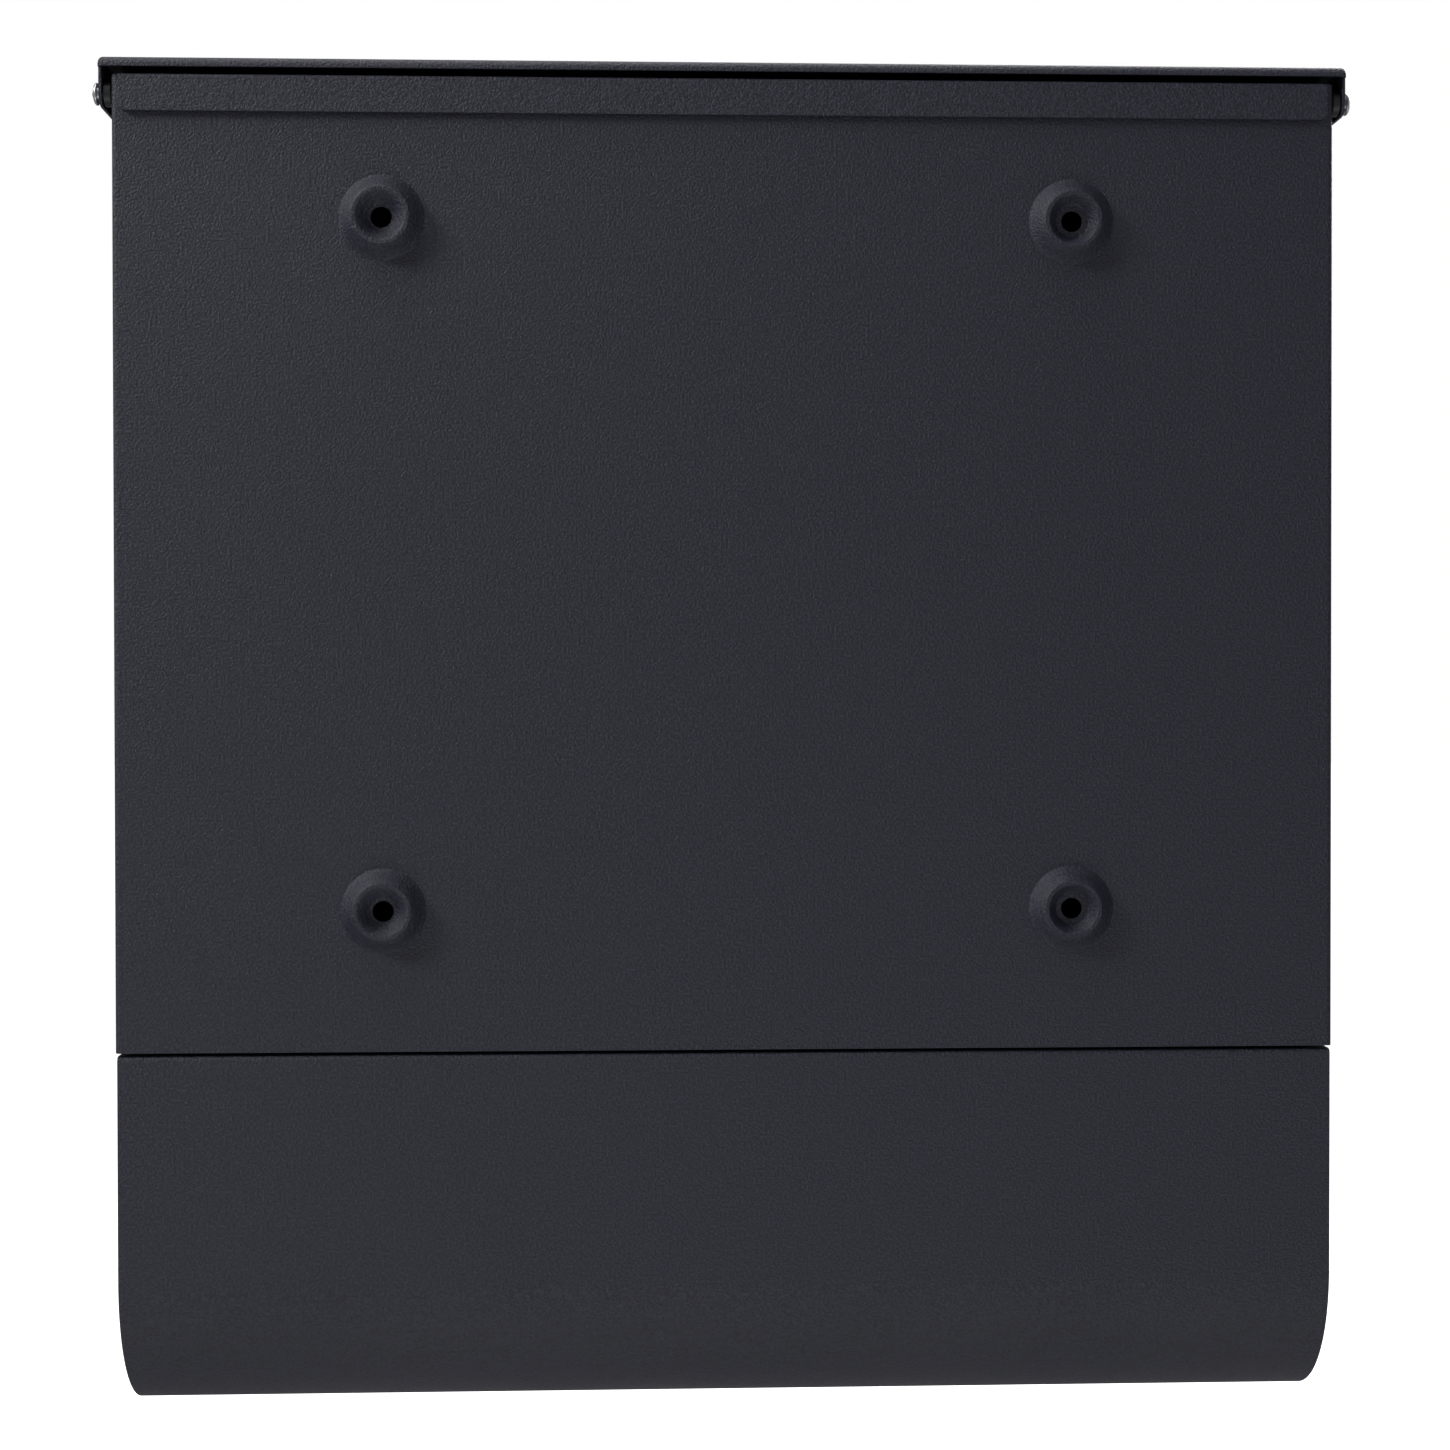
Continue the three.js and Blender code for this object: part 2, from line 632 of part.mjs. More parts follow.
function lidSheet() {
  const half = LID_SHEET / 2;
  const far = LID_SIDE_OUT + OVER;
  const earRear = PIVOT_Y + EAR_R;
  const earZ = LID_BOTTOM + EAR_R;
  const below = LID_BOTTOM - OVER;
  const underLip = block(-far, far, earRear, LID_REAR + OVER, below, LID_TOP - LID_REAR_LIP);
  const ear = new THREE.Shape();
  ear.moveTo(PIVOT_Y, below);
  ear.lineTo(earRear + OVER, below);
  ear.lineTo(earRear + OVER, earZ);
  ear.lineTo(earRear, earZ);
  ear.absarc(PIVOT_Y, earZ, EAR_R, 0, -Math.PI / 2, true);

  const front = LID_FRONT + half;
  const low = LID_BOTTOM + half;
  const hem = LID_SHEET + HEM_GAP;
  const hemJoin = low + LID_FRONT_HEM / 2;
  const width = LID_SIDE_IN - REST_GAP;
  const hemRoom = block(-width, width, LID_FRONT - OVER, LID_FRONT + LID_SHEET + OVER, below, hemJoin);
  const hemFold = foldedSheet(
    [
      [front, hemJoin],
      [front, low, hem / 2],
      [front + hem, low, hem / 2],
      [front + hem, low + LID_FRONT_HEM],
    ],
    LID_SHEET,
  );
  const sheet = cut(
    lidForm(0, LID_BOTTOM),
    lidForm(LID_SHEET, below),
    underLip,
    push("x", ear, -far, far),
    hemRoom,
    bar("x", RIVET_R + TURN_GAP, -far, far, [0, PIVOT_Y, PIVOT_Z]),
  );
  return join(sheet, push("x", hemFold, -width, width));
}

// A blind rivet through the cabinet's right side, with play outside the lid so that the lid turns on it.
function lidRivet() {
  const tail = SIDE_IN - REST_GAP;
  const head = LID_SIDE_OUT + RIVET_PLAY;
  const rim = head + RIVET_RIM;
  const dome = rim + RIVET_DOME;
  return turn("x", [
    [0, tail - RIVET_TAIL],
    [RIVET_R, tail - RIVET_TAIL],
    [RIVET_TAIL_R, tail - RIVET_TAIL + RIVET_TAIL_TAPER],
    [RIVET_TAIL_R, tail],
    [RIVET_R, tail],
    [RIVET_R, head],
    [RIVET_HEAD_R, head],
    [RIVET_HEAD_R, rim],
    [RIVET_SHOULDER_R, rim + RIVET_SHOULDER],
    [RIVET_STUB_R, dome],
    [RIVET_STUB_R, dome + RIVET_STUB],
    [0, dome + RIVET_STUB],
  ]);
}

// A nylon ring on the rivet that keeps the lid's side off the cabinet.
function lidSpacer() {
  const bore = RIVET_R + TURN_GAP;
  return turn("x", [
    [bore, SIDE_OUT + REST_GAP],
    [SPACER_R, SIDE_OUT + REST_GAP],
    [SPACER_R, LID_SIDE_IN - REST_GAP],
    [bore, LID_SIDE_IN - REST_GAP],
  ]);
}

// A rubber dome on the front rail that the lid closes on.
function lidBuffer() {
  const foot = RAIL_TOP + REST_GAP;
  const crown = LID_UNDER - REST_GAP;
  const wall = (crown - foot) * 0.4; // the straight part of its height
  return turn("z", [
    [0, foot],
    [LID_BUFFER_R, foot],
    [LID_BUFFER_R, foot + wall],
    [LID_BUFFER_SHOULDER_R, foot + wall * 2],
    [LID_BUFFER_CROWN_R, crown],
    [0, crown],
  ]);
}

// ---------------------------------------------------------------------------------------------------------
// Door
// ---------------------------------------------------------------------------------------------------------

function doorSheet() {
  const face = FRONT + HALF_SHEET;
  const returnEnd = FRONT + DOOR_RETURN;
  const corner = BEND + HALF_SHEET + REST_GAP;
  const profile = foldedSheet(
    [
      [returnEnd, DOOR_BOTTOM + HALF_SHEET],
      [face, DOOR_BOTTOM + HALF_SHEET],
      [face, DOOR_TOP - HALF_SHEET],
      [returnEnd, DOOR_TOP - HALF_SHEET],
    ],
    SHEET,
  );
  const edge = foldedSheet(
    [
      [DOOR_OUT - corner * 2, face],
      [DOOR_OUT - HALF_SHEET, face],
      [DOOR_OUT - HALF_SHEET, returnEnd],
    ],
    SHEET,
  );
  const right = push("z", edge, DOOR_BOTTOM + corner, DOOR_TOP - corner);
  const across = DOOR_OUT - corner;
  const sheet = join(push("x", profile, -across, across), right, mirrorX(right));
  const x = WINDOW_WIDTH / 2;
  const z = WINDOW_HEIGHT / 2;
  const window = roundedRect(-x, x, WINDOW_Z - z, WINDOW_Z + z, Array(4).fill(WINDOW_CORNER_R));
  const before = FRONT - OVER;
  const behind = FRONT + SHEET + OVER;
  const pin = [PIN_X, PIN_Y, 0];
  return cut(
    sheet,
    push("y", window, before, behind),
    bar("y", LOCK_BARREL_R + HOLE_GAP, before, behind, LOCK_AT),
    bar("z", PIN_R + HOLE_GAP, DOOR_BOTTOM - OVER, DOOR_BOTTOM + SHEET + OVER, pin),
    bar("z", PIN_R + HOLE_GAP, DOOR_TOP - SHEET - OVER, DOOR_TOP + OVER, pin),
  );
}

// A collared pin riveted in the door's end return, its free end up, measured from the door's edge.
function doorPin() {
  const tail = -SHEET - REST_GAP;
  const collar = REST_GAP + PIN_COLLAR;
  const tip = DOOR_END_GAP + PIN_LENGTH;
  return turn("z", [
    [0, tail - PIN_TAIL],
    [PIN_TAIL_R, tail - PIN_TAIL],
    [PIN_TAIL_R, tail],
    [PIN_R, tail],
    [PIN_R, REST_GAP],
    [PIN_COLLAR_R, REST_GAP],
    [PIN_COLLAR_R, collar],
    [PIN_R, collar],
    [PIN_R, tip - PIN_CHAMFER],
    [PIN_R - PIN_CHAMFER, tip],
    [0, tip],
  ]);
}

function nameHolder() {
  const lap = WINDOW_LAP + REST_GAP;
  const front = FRONT + SHEET + REST_GAP;
  const inner = [WINDOW_WIDTH / 2 + lap, WINDOW_HEIGHT / 2 + lap];
  const floor = front + WINDOW_THICK + CARD_THICK + REST_GAP * 2;
  const [x, z] = inner.map((half) => half + HOLDER_WALL);
  return cut(
    block(-x, x, front, floor + HOLDER_WALL, WINDOW_Z - z, WINDOW_Z + z),
    block(-inner[0], inner[0], front - OVER, floor, WINDOW_Z - inner[1], WINDOW_Z + inner[1]),
  );
}

// A flat leaf behind the name cut-out, between two depths behind the door's sheet.
function nameLeaf(from, to) {
  const x = WINDOW_WIDTH / 2 + WINDOW_LAP;
  const z = WINDOW_HEIGHT / 2 + WINDOW_LAP;
  const back = FRONT + SHEET + REST_GAP;
  return block(-x, x, back + from, back + to, WINDOW_Z - z, WINDOW_Z + z);
}

// ---------------------------------------------------------------------------------------------------------
// Lock
// ---------------------------------------------------------------------------------------------------------

function lockBarrel() {
  const bore = PLUG_R + TURN_GAP;
  const face = FRONT - REST_GAP - LOCK_BEZEL;
  const profile = [
    [bore, face],
    [LOCK_BEZEL_R - LOCK_CHAMFER, face],
    [LOCK_BEZEL_R, face + LOCK_CHAMFER],
    [LOCK_BEZEL_R, FRONT - REST_GAP],
    [LOCK_BARREL_R, FRONT - REST_GAP],
    [LOCK_BARREL_R, BARREL_END],
    [bore, BARREL_END],
  ];
  return turn("y", profile, LOCK_AT);
}

function lockPlug() {
  const face = FRONT - LOCK_BEZEL; // set in a little from the barrel's face
  const shoulder = BARREL_END + REST_GAP;
  const end = CAM_REAR + REST_GAP;
  const stub = PLUG_SQUARE / 2;
  const square = block(LOCK_X - stub, LOCK_X + stub, shoulder - OVER, end, LOCK_Z - stub, LOCK_Z + stub);
  const keyway = block(
    LOCK_X - KEYWAY_WIDTH / 2,
    LOCK_X + KEYWAY_WIDTH / 2,
    face - OVER,
    face + KEYWAY_DEPTH,
    LOCK_Z - KEYWAY_HEIGHT / 2,
    LOCK_Z + KEYWAY_HEIGHT / 2,
  );
  const thread = bar("y", CAM_SCREW_R + HOLE_GAP, end - CAM_SCREW_LENGTH - OVER, end + OVER, LOCK_AT);
  return cut(join(bar("y", PLUG_R, face, shoulder, LOCK_AT), square), keyway, thread);
}

function lockNut() {
  const front = FRONT + SHEET + REST_GAP;
  const nut = hexNut("y", LOCK_NUT_FLATS, LOCK_BARREL_R + HOLE_GAP, front, front + LOCK_NUT, [0, 0, 0]);
  return nut.translate(LOCK_AT);
}

// The cam hangs down when unlocked.
function lockCam() {
  const half = CAM_WIDTH / 2;
  const outline = roundedRect(-half, half, -CAM_REACH, half, [half, half, half, half]);
  const square = PLUG_SQUARE / 2 + HOLE_GAP;
  const plate = cut(
    push("y", outline, CAM_FRONT, CAM_REAR),
    block(-square, square, CAM_FRONT - OVER, CAM_REAR + OVER, -square, square),
  );
  return plate.translate(LOCK_AT);
}

function camScrew() {
  const seat = CAM_REAR + REST_GAP * 2;
  const profile = [
    [0, seat - CAM_SCREW_LENGTH],
    [CAM_SCREW_R, seat - CAM_SCREW_LENGTH],
    [CAM_SCREW_R, seat],
    [CAM_SCREW_HEAD_R, seat],
    [CAM_SCREW_HEAD_R, seat + CAM_SCREW_RIM],
    [CAM_SCREW_CROWN_R, seat + CAM_SCREW_HEAD],
    [0, seat + CAM_SCREW_HEAD],
  ];
  return turn("y", profile, LOCK_AT);
}

// An angle on the cabinet's right side that the cam turns behind.
function strikeBracket() {
  const leg = SIDE_IN - REST_GAP - HALF_SHEET;
  const plate = STRIKE_REAR - HALF_SHEET;
  const profile = foldedSheet(
    [
      [SIDE_IN - STRIKE_REACH, plate],
      [leg, plate],
      [leg, plate + STRIKE_LEG],
    ],
    SHEET,
  );
  return push("z", profile, LOCK_Z - STRIKE_HEIGHT / 2, LOCK_Z + STRIKE_HEIGHT / 2);
}

// A rubber pad on the strike's face that the door's return closes on, centred on a height.
function doorBuffer(z) {
  const x = DOOR_OUT - HALF_SHEET;
  return block(
    x - BUFFER_WIDTH / 2,
    x + BUFFER_WIDTH / 2 - SHEET,
    FRONT + DOOR_RETURN + REST_GAP,
    STRIKE_REAR - SHEET - REST_GAP,
    z - BUFFER_HEIGHT / 2,
    z + BUFFER_HEIGHT / 2,
  );
}

// ---------------------------------------------------------------------------------------------------------
// The mailbox
// ---------------------------------------------------------------------------------------------------------

// Adds a solid made in the mailbox's frame to a group that stands anywhere in it.
function add(group, name, body, material) {
  const geometry = geometryOf(body);
  const { x, y, z } = group.position;
  geometry.translate(-x, -y, -z);
  const mesh = new THREE.Mesh(geometry, material);
  mesh.name = name;
  group.add(mesh);
  return mesh;
}

function buildCabinet(group) {
  add(group, "cabinet_shell", cabinetShell(), POWDER_COAT);
  add(group, "floor_tray", floorTray(), POWDER_COAT);
  add(group, "top_rail", topRail(), POWDER_COAT);
  add(group, "letter_guard", letterGuard(), POWDER_COAT);
  add(group, "strike_bracket", strikeBracket(), POWDER_COAT);
  const reach = STRIKE_HEIGHT / 2 - BUFFER_HEIGHT / 2;
  add(group, "door_buffer_upper", doorBuffer(LOCK_Z + reach), RUBBER);
  add(group, "door_buffer_lower", doorBuffer(LOCK_Z - reach), RUBBER);
}

function buildRoll(group) {
  add(group, "newspaper_roll", newspaperRoll(), POWDER_COAT);
  for (const [place, x, y] of SCREW_PLACES) {
    add(group, `roll_screw_${place}`, rollScrew(), ZINC).position.set(x, y, 0);
    add(group, `roll_nut_${place}`, rollNut(), ZINC).position.set(x, y, 0);
  }
}

function buildLidFittings(group) {
  for (const [side, sign] of [["left", -1], ["right", 1]]) {
    const hand = (body) => (sign < 0 ? mirrorX(body) : body);
    add(group, `lid_rivet_${side}`, hand(lidRivet()), ZINC).position.set(0, PIVOT_Y, PIVOT_Z);
    add(group, `lid_spacer_${side}`, hand(lidSpacer()), NYLON).position.set(0, PIVOT_Y, PIVOT_Z);
    const buffer = add(group, `lid_buffer_${side}`, lidBuffer(), RUBBER);
    buffer.position.set(sign * LID_BUFFER_X, FRONT + LID_BUFFER_BACK, 0);
  }
}

function buildDoor(group) {
  add(group, "door", doorSheet(), POWDER_COAT);
  const pins = [["top", DOOR_TOP, 0], ["bottom", DOOR_BOTTOM, Math.PI]];
  for (const [end, edge, tilt] of pins) {
    const pin = add(new THREE.Group(), `door_pin_${end}`, doorPin(), ZINC);
    pin.position.set(0, 0, edge);
    pin.rotation.x = tilt;
    group.add(pin);
  }
  add(group, "name_holder", nameHolder(), POWDER_COAT);
  add(group, "name_window", nameLeaf(0, WINDOW_THICK), CLEAR);
  const cardFront = WINDOW_THICK + REST_GAP;
  add(group, "name_card", nameLeaf(cardFront, cardFront + CARD_THICK), CARD);
  add(group, "lock_barrel", lockBarrel(), CHROME);
  add(group, "lock_nut", lockNut(), ZINC);
}

function buildLock(group) {
  add(group, "lock_plug", lockPlug(), CHROME);
  add(group, "lock_cam", lockCam(), ZINC);
  add(group, "cam_screw", camScrew(), ZINC);
}

const mailbox = new THREE.Group();
buildCabinet(mailbox);
buildRoll(mailbox);
buildLidFittings(mailbox);

const lid = new THREE.Group(); // turns about x on its rivets
lid.position.set(0, PIVOT_Y, PIVOT_Z);
add(lid, "lid", lidSheet(), POWDER_COAT);

const door = new THREE.Group(); // turns about z on its pins
door.position.set(PIN_X, PIN_Y, 0);
buildDoor(door);

const lock = new THREE.Group(); // turns about y in its barrel
lock.position.set(LOCK_X, 0, LOCK_Z);
buildLock(lock);

mailbox.add(lid, door, lock);

export default mailbox;
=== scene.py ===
"""A wall mailbox in folded, powder-coated sheet steel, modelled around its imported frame.

The frame stands in metres, +Z up, with the wall at y = 0 and the front facing -Y. Pieces are modelled here in
millimetres, in the same axes, and turned to metres as they are finished.
"""

import logging
import math
from collections.abc import Callable, Sequence
from dataclasses import dataclass, field
from enum import Enum

import bmesh
import bpy
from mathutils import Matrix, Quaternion, Vector


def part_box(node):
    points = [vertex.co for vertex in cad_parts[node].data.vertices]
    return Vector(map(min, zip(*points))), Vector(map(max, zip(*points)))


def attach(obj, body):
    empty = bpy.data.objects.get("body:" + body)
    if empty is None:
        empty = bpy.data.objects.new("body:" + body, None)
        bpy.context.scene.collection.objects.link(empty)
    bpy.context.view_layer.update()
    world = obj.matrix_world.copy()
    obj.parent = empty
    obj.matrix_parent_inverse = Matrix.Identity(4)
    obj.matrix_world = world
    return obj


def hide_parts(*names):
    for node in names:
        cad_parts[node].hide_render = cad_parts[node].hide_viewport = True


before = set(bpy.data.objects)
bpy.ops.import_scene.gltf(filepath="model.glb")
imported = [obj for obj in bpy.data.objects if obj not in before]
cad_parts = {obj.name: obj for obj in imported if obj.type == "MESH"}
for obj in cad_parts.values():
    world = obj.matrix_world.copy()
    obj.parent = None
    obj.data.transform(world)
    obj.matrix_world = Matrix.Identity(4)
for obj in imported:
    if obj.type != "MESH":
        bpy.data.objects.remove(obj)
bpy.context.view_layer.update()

LOG = logging.getLogger("mailbox")
MM = 0.001  # a millimetre in metres
NEAR = 0.005  # places this close, in millimetres, are the same place

Point = tuple[float, float, float]
Test = Callable[[object], bool]


# ----------------------------------------------------------------------------------------------------------
# The bench: how a piece is modelled
# ----------------------------------------------------------------------------------------------------------


class Axis(Enum):
    """A row axis, with the turn that lays a flat primitive square to it."""

    X = (0.0, math.pi / 2, 0.0)
    Y = (math.pi / 2, 0.0, 0.0)
    Z = (0.0, 0.0, 0.0)

    @property
    def unit(self) -> Vector:
        """The axis as a vector."""
        return Vector({"X": (1, 0, 0), "Y": (0, 1, 0), "Z": (0, 0, 1)}[self.name])

    @property
    def others(self) -> tuple[Vector, Vector]:
        """The two row axes square to this one."""
        return tuple(axis.unit for axis in Axis if axis is not self)


class Kind(Enum):
    """What a selection holds."""

    VERTS = "VERT"
    EDGES = "EDGE"
    FACES = "FACE"


@dataclass(frozen=True)
class Extent:
    """A CAD node's box, in millimetres."""

    low: Vector
    high: Vector

    @classmethod
    def of(cls, node: str) -> "Extent":
        """The box of the CAD node of that name."""
        low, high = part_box(node)
        return cls(low / MM, high / MM)

    @property
    def middle(self) -> Vector:
        """The box's centre."""
        return (self.low + self.high) / 2


def at(**where: float | tuple[float, float]) -> Test:
    """Makes a test for elements by their place.

    Args:
        **where: for x, y or z, or for out, the distance from the middle plane x = 0, the value that every
            corner of the element has, or the two that it lies between.

    Returns:
        A test that is true for an element with all its corners there.
    """

    def holds(point: Vector, name: str, wanted: float | tuple[float, float]) -> bool:
        """Whether a corner has the wanted value."""
        value = abs(point.x) if name == "out" else getattr(point, name)
        low, high = wanted if isinstance(wanted, tuple) else (wanted, wanted)
        return low - NEAR <= value <= high + NEAR

    def test(element: object) -> bool:
        """Whether every corner of the element is there."""
        corners = [element] if isinstance(element, bmesh.types.BMVert) else element.verts
        return all(holds(corner.co, name, wanted) for corner in corners for name, wanted in where.items())

    return test


def open_mode(mode: str) -> None:
    """Changes the active object's mode, if it isn't that already."""
    if bpy.context.object and bpy.context.object.mode != mode:
        bpy.ops.object.mode_set(mode=mode)


def ringed(edge: bmesh.types.BMEdge, centre: Vector, radius: float, axis: Axis) -> bool:
    """Whether the edge lies on a circle about the axis through the centre."""
    for vert in edge.verts:
        off = vert.co - centre
        off -= axis.unit * off.dot(axis.unit)
        if abs(off.length - radius) > NEAR:
            return False
    return True


class Bench:
    """One piece while it is modelled: it starts as a primitive and is shaped in edit mode, in millimetres."""

    def __init__(self, name: str, start: Callable[..., object], **settings: object) -> None:
        """Adds the primitive and opens it in edit mode.

        Args:
            name: the finished piece's name.
            start: the operator that adds the primitive.
            **settings: the operator's settings, with its size and place.
        """
        open_mode("OBJECT")
        bpy.ops.object.select_all(action="DESELECT")
        scale = settings.pop("scale", None)
        start(**settings)
        self.piece = bpy.context.object
        self.piece.name = self.piece.data.name = name
        if scale:
            self.piece.scale = scale
        bpy.ops.object.transform_apply(location=True, rotation=True, scale=True)
        open_mode("EDIT")

    # Selecting

    @property
    def mesh(self) -> bmesh.types.BMesh:
        """The mesh under edit."""
        return bmesh.from_edit_mesh(self.piece.data)

    def pick(self, kind: Kind, test: Test, more: bool = False) -> "Bench":
        """Selects the elements that pass a test.

        Args:
            kind: which elements to go through.
            test: what they have to pass.
            more: keep what is selected already.

        Returns:
            The bench, so that an operation can follow.
        """
        if not more:
            bpy.ops.mesh.select_all(action="DESELECT")
            bpy.ops.mesh.select_mode(type=kind.value)
        mesh = self.mesh
        chosen = [e for e in {"VERT": mesh.verts, "EDGE": mesh.edges, "FACE": mesh.faces}[kind.value] if test(e)]
        if not chosen:
            raise ValueError(f"{self.piece.name}: nothing is there to select")
        for element in chosen:
            element.select_set(True)
        bmesh.update_edit_mesh(self.piece.data)
        return self

    # Shaping

    def extrude(self, move: Point) -> "Bench":
        """Extrudes the selection by a move."""
        bpy.ops.mesh.extrude_region_move(TRANSFORM_OT_translate={"value": move})
        return self

    def extrude_ring(self, ratio: float, move: Vector, centre: Vector, axis: Axis) -> "Bench":
        """Extrudes a selected ring to another radius and a place further along its axis.

        Args:
            ratio: the new radius over the old one.
            move: how far it goes.
            centre: the ring's centre before the move.
            axis: the ring's axis.
        """
        bpy.ops.mesh.extrude_region_move(TRANSFORM_OT_translate={"value": move})
        value = [1.0 if component else ratio for component in axis.unit]
        bpy.ops.transform.resize(value=value, center_override=centre + move)
        return self

    def bevel(self, radius: float, segments: int, corners: bool = False) -> "Bench":
        """Rounds the selected edges, or corners, by a radius that is right for a square fold."""
        affect = "VERTICES" if corners else "EDGES"
        bpy.ops.mesh.bevel(offset=radius, segments=segments, affect=affect, profile=0.5, clamp_overlap=False)
        return self

    def slice(self, axis: Axis, place: float, test: Test | None = None) -> "Bench":
        """Cuts a line of edges across the faces, or only across those that pass a test."""
        self.pick(Kind.FACES, test or (lambda face: True))
        bpy.ops.mesh.bisect(plane_co=axis.unit * place, plane_no=axis.unit)
        return self

    def drop(self, test: Test) -> "Bench":
        """Takes away the faces that pass a test."""
        self.pick(Kind.FACES, test)
        bpy.ops.mesh.delete(type="FACE")
        return self

    def punch(self, axis: Axis, centre: Vector, patch: float, radius: float, sides: int = 32) -> "Bench":
        """Opens a round hole in a flat stretch, with even faces from the hole to a square patch round it.

        Args:
            axis: the hole's axis.
            centre: its centre, on the sheet.
            patch: half the width of the patch.
            radius: the hole's radius.
            sides: how many edges go round it, a multiple of four.

        Returns:
            The bench, with the hole's rim selected.
        """
        name = axis.name.lower()
        flat = at(**{name: getattr(centre, name)})
        for across in axis.others:
            for sign in (-1, 1):
                place = centre.dot(across) + sign * patch
                side = next(other for other in Axis if other.unit == across)
                self.slice(side, place, lambda face: flat(face) and self._near(face, centre, patch * 1.001))
        inside = lambda face: flat(face) and (face.calc_center_median() - centre).length < patch / 2
        self.drop(inside)
        rim = lambda edge: flat(edge) and edge.is_boundary and self._square(edge, centre, patch, axis)
        self.pick(Kind.EDGES, rim)
        bpy.ops.mesh.subdivide(number_cuts=sides // 4 - 1)
        self.pick(Kind.EDGES, rim).extrude((0, 0, 0))
        bpy.ops.transform.tosphere(value=1.0, center_override=centre)
        reach = next((vert.co - centre).length for vert in self.mesh.verts if vert.select)
        value = [1.0 if component else radius / reach for component in axis.unit]
        bpy.ops.transform.resize(value=value, center_override=centre)
        return self.pick(Kind.EDGES, lambda edge: flat(edge) and ringed(edge, centre, radius, axis))

    @staticmethod
    def _near(face: bmesh.types.BMFace, centre: Vector, reach: float) -> bool:
        """Whether the face's box holds or comes within reach of the centre."""
        for i in range(3):
            values = [vert.co[i] for vert in face.verts]
            if min(values) - reach > centre[i] or max(values) + reach < centre[i]:
                return False
        return True

    @staticmethod
    def _square(edge: bmesh.types.BMEdge, centre: Vector, patch: float, axis: Axis) -> bool:
        """Whether the edge lies on the outline of the square patch."""
        for vert in edge.verts:
            off = [abs((vert.co - centre).dot(across)) for across in axis.others]
            if abs(max(off) - patch) > NEAR:
                return False
        return True

    # Finishing

    def modify(self, kind: str, **settings: object) -> "Bench":
        """Adds a modifier with its settings and applies it."""
        open_mode("OBJECT")
        bpy.context.view_layer.objects.active = self.piece
        modifier = self.piece.modifiers.new(kind.lower(), kind)
        for name, value in settings.items():
            setattr(modifier, name, value)
        bpy.ops.object.modifier_apply(modifier=modifier.name)
        return self

    def mirror(self) -> "Bench":
        """Adds the other half, across the middle plane."""
        return self.modify("MIRROR", use_axis=(True, False, False), use_clip=True, merge_threshold=NEAR)

    def thicken(self, sheet: float) -> "Bench":
        """Gives the middle surface the sheet's thickness, half on each side."""
        self.tidy()
        return self.modify("SOLIDIFY", thickness=sheet, offset=0.0, use_even_offset=True, use_quality_normals=True)

    def soften(self, radius: float, segments: int = 3, angle: float = 50.0) -> "Bench":
        """Breaks the sharp edges."""
        return self.modify(
            "BEVEL",
            width=radius,
            segments=segments,
            limit_method="ANGLE",
            angle_limit=math.radians(angle),
            use_clamp_overlap=False,
        )

    def carve(self, tool: "Bench", how: str = "DIFFERENCE") -> "Bench":
        """Cuts the piece with a tool, or with how UNION or INTERSECT joins it or keeps what they share."""
        open_mode("OBJECT")
        self.modify("BOOLEAN", object=tool.piece, operation=how, solver="EXACT")
        bpy.data.objects.remove(tool.piece)
        return self

    def drill(self, axis: Axis, centre: Vector, radius: float, depth: float = 3.0) -> "Bench":
        """Drills a round hole.

        Args:
            axis: its axis.
            centre: the middle of its length.
            radius: its radius.
            depth: how long the drill is.
        """
        outline = [(radius, -depth / 2), (radius, depth / 2)]
        return self.carve(turned("drill", axis, centre, outline, 40))

    def cut_box(self, low: Point, high: Point) -> "Bench":
        """Cuts a square-cornered pocket between two opposite corners."""
        return self.carve(block("cutter", low, high))

    def tidy(self) -> None:
        """Merges doubled corners and turns all faces outwards."""
        open_mode("OBJECT")
        bpy.context.view_layer.objects.active = self.piece
        open_mode("EDIT")
        bpy.ops.mesh.select_all(action="SELECT")
        bpy.ops.mesh.remove_doubles(threshold=NEAR / 5)
        bpy.ops.mesh.normals_make_consistent(inside=False)

    def finish(self, body: str, finish: "Finish", *nodes: str, smooth: float = 35.0) -> bpy.types.Object:
        """Ends the modelling: closes and smooths the piece, makes it metres, dresses it and sets it in the frame.

        Args:
            body: the CAD body that it moves with.
            finish: what it is made of.
            *nodes: the CAD nodes that it stands for.
            smooth: the widest angle that is shaded smooth, in degrees.

        Returns:
            The finished piece.
        """
        self.tidy()
        open_mode("OBJECT")
        bpy.ops.object.select_all(action="DESELECT")
        self.piece.select_set(True)
        self.piece.scale = (MM, MM, MM)
        bpy.ops.object.transform_apply(location=False, rotation=False, scale=True)
        bpy.ops.object.shade_smooth_by_angle(angle=math.radians(smooth))
        self.modify("WEIGHTED_NORMAL", keep_sharp=True, weight=50)
        self.piece.data.materials.clear()
        self.piece.data.materials.append(finish.material())
        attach(self.piece, body)
        if nodes:
            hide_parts(*nodes)
        LOG.info("%s: %d faces, %s", self.piece.name, len(self.piece.data.polygons), finish.slot)
        return self.piece


def panel(name: str, axis: Axis, place: float, first: tuple[float, float], second: tuple[float, float]) -> Bench:
    """Starts a sheet with one flat panel.

    Args:
        name: the piece's name.
        axis: the row axis that the panel is square to.
        place: where it stands along that axis.
        first: its reach along the first of the other two axes.
        second: its reach along the second.

    Returns:
        The bench that holds it.
    """
    one, two = axis.others
    centre = axis.unit * place + one * (sum(first) / 2) + two * (sum(second) / 2)
    size = axis.unit + one * (first[1] - first[0]) + two * (second[1] - second[0])
    flat = {Axis.X: (size.z, size.y, 1), Axis.Y: (size.x, size.z, 1), Axis.Z: (size.x, size.y, 1)}[axis]
    return Bench(
        name, bpy.ops.mesh.primitive_plane_add, size=1.0, location=centre, rotation=axis.value, scale=flat
    )


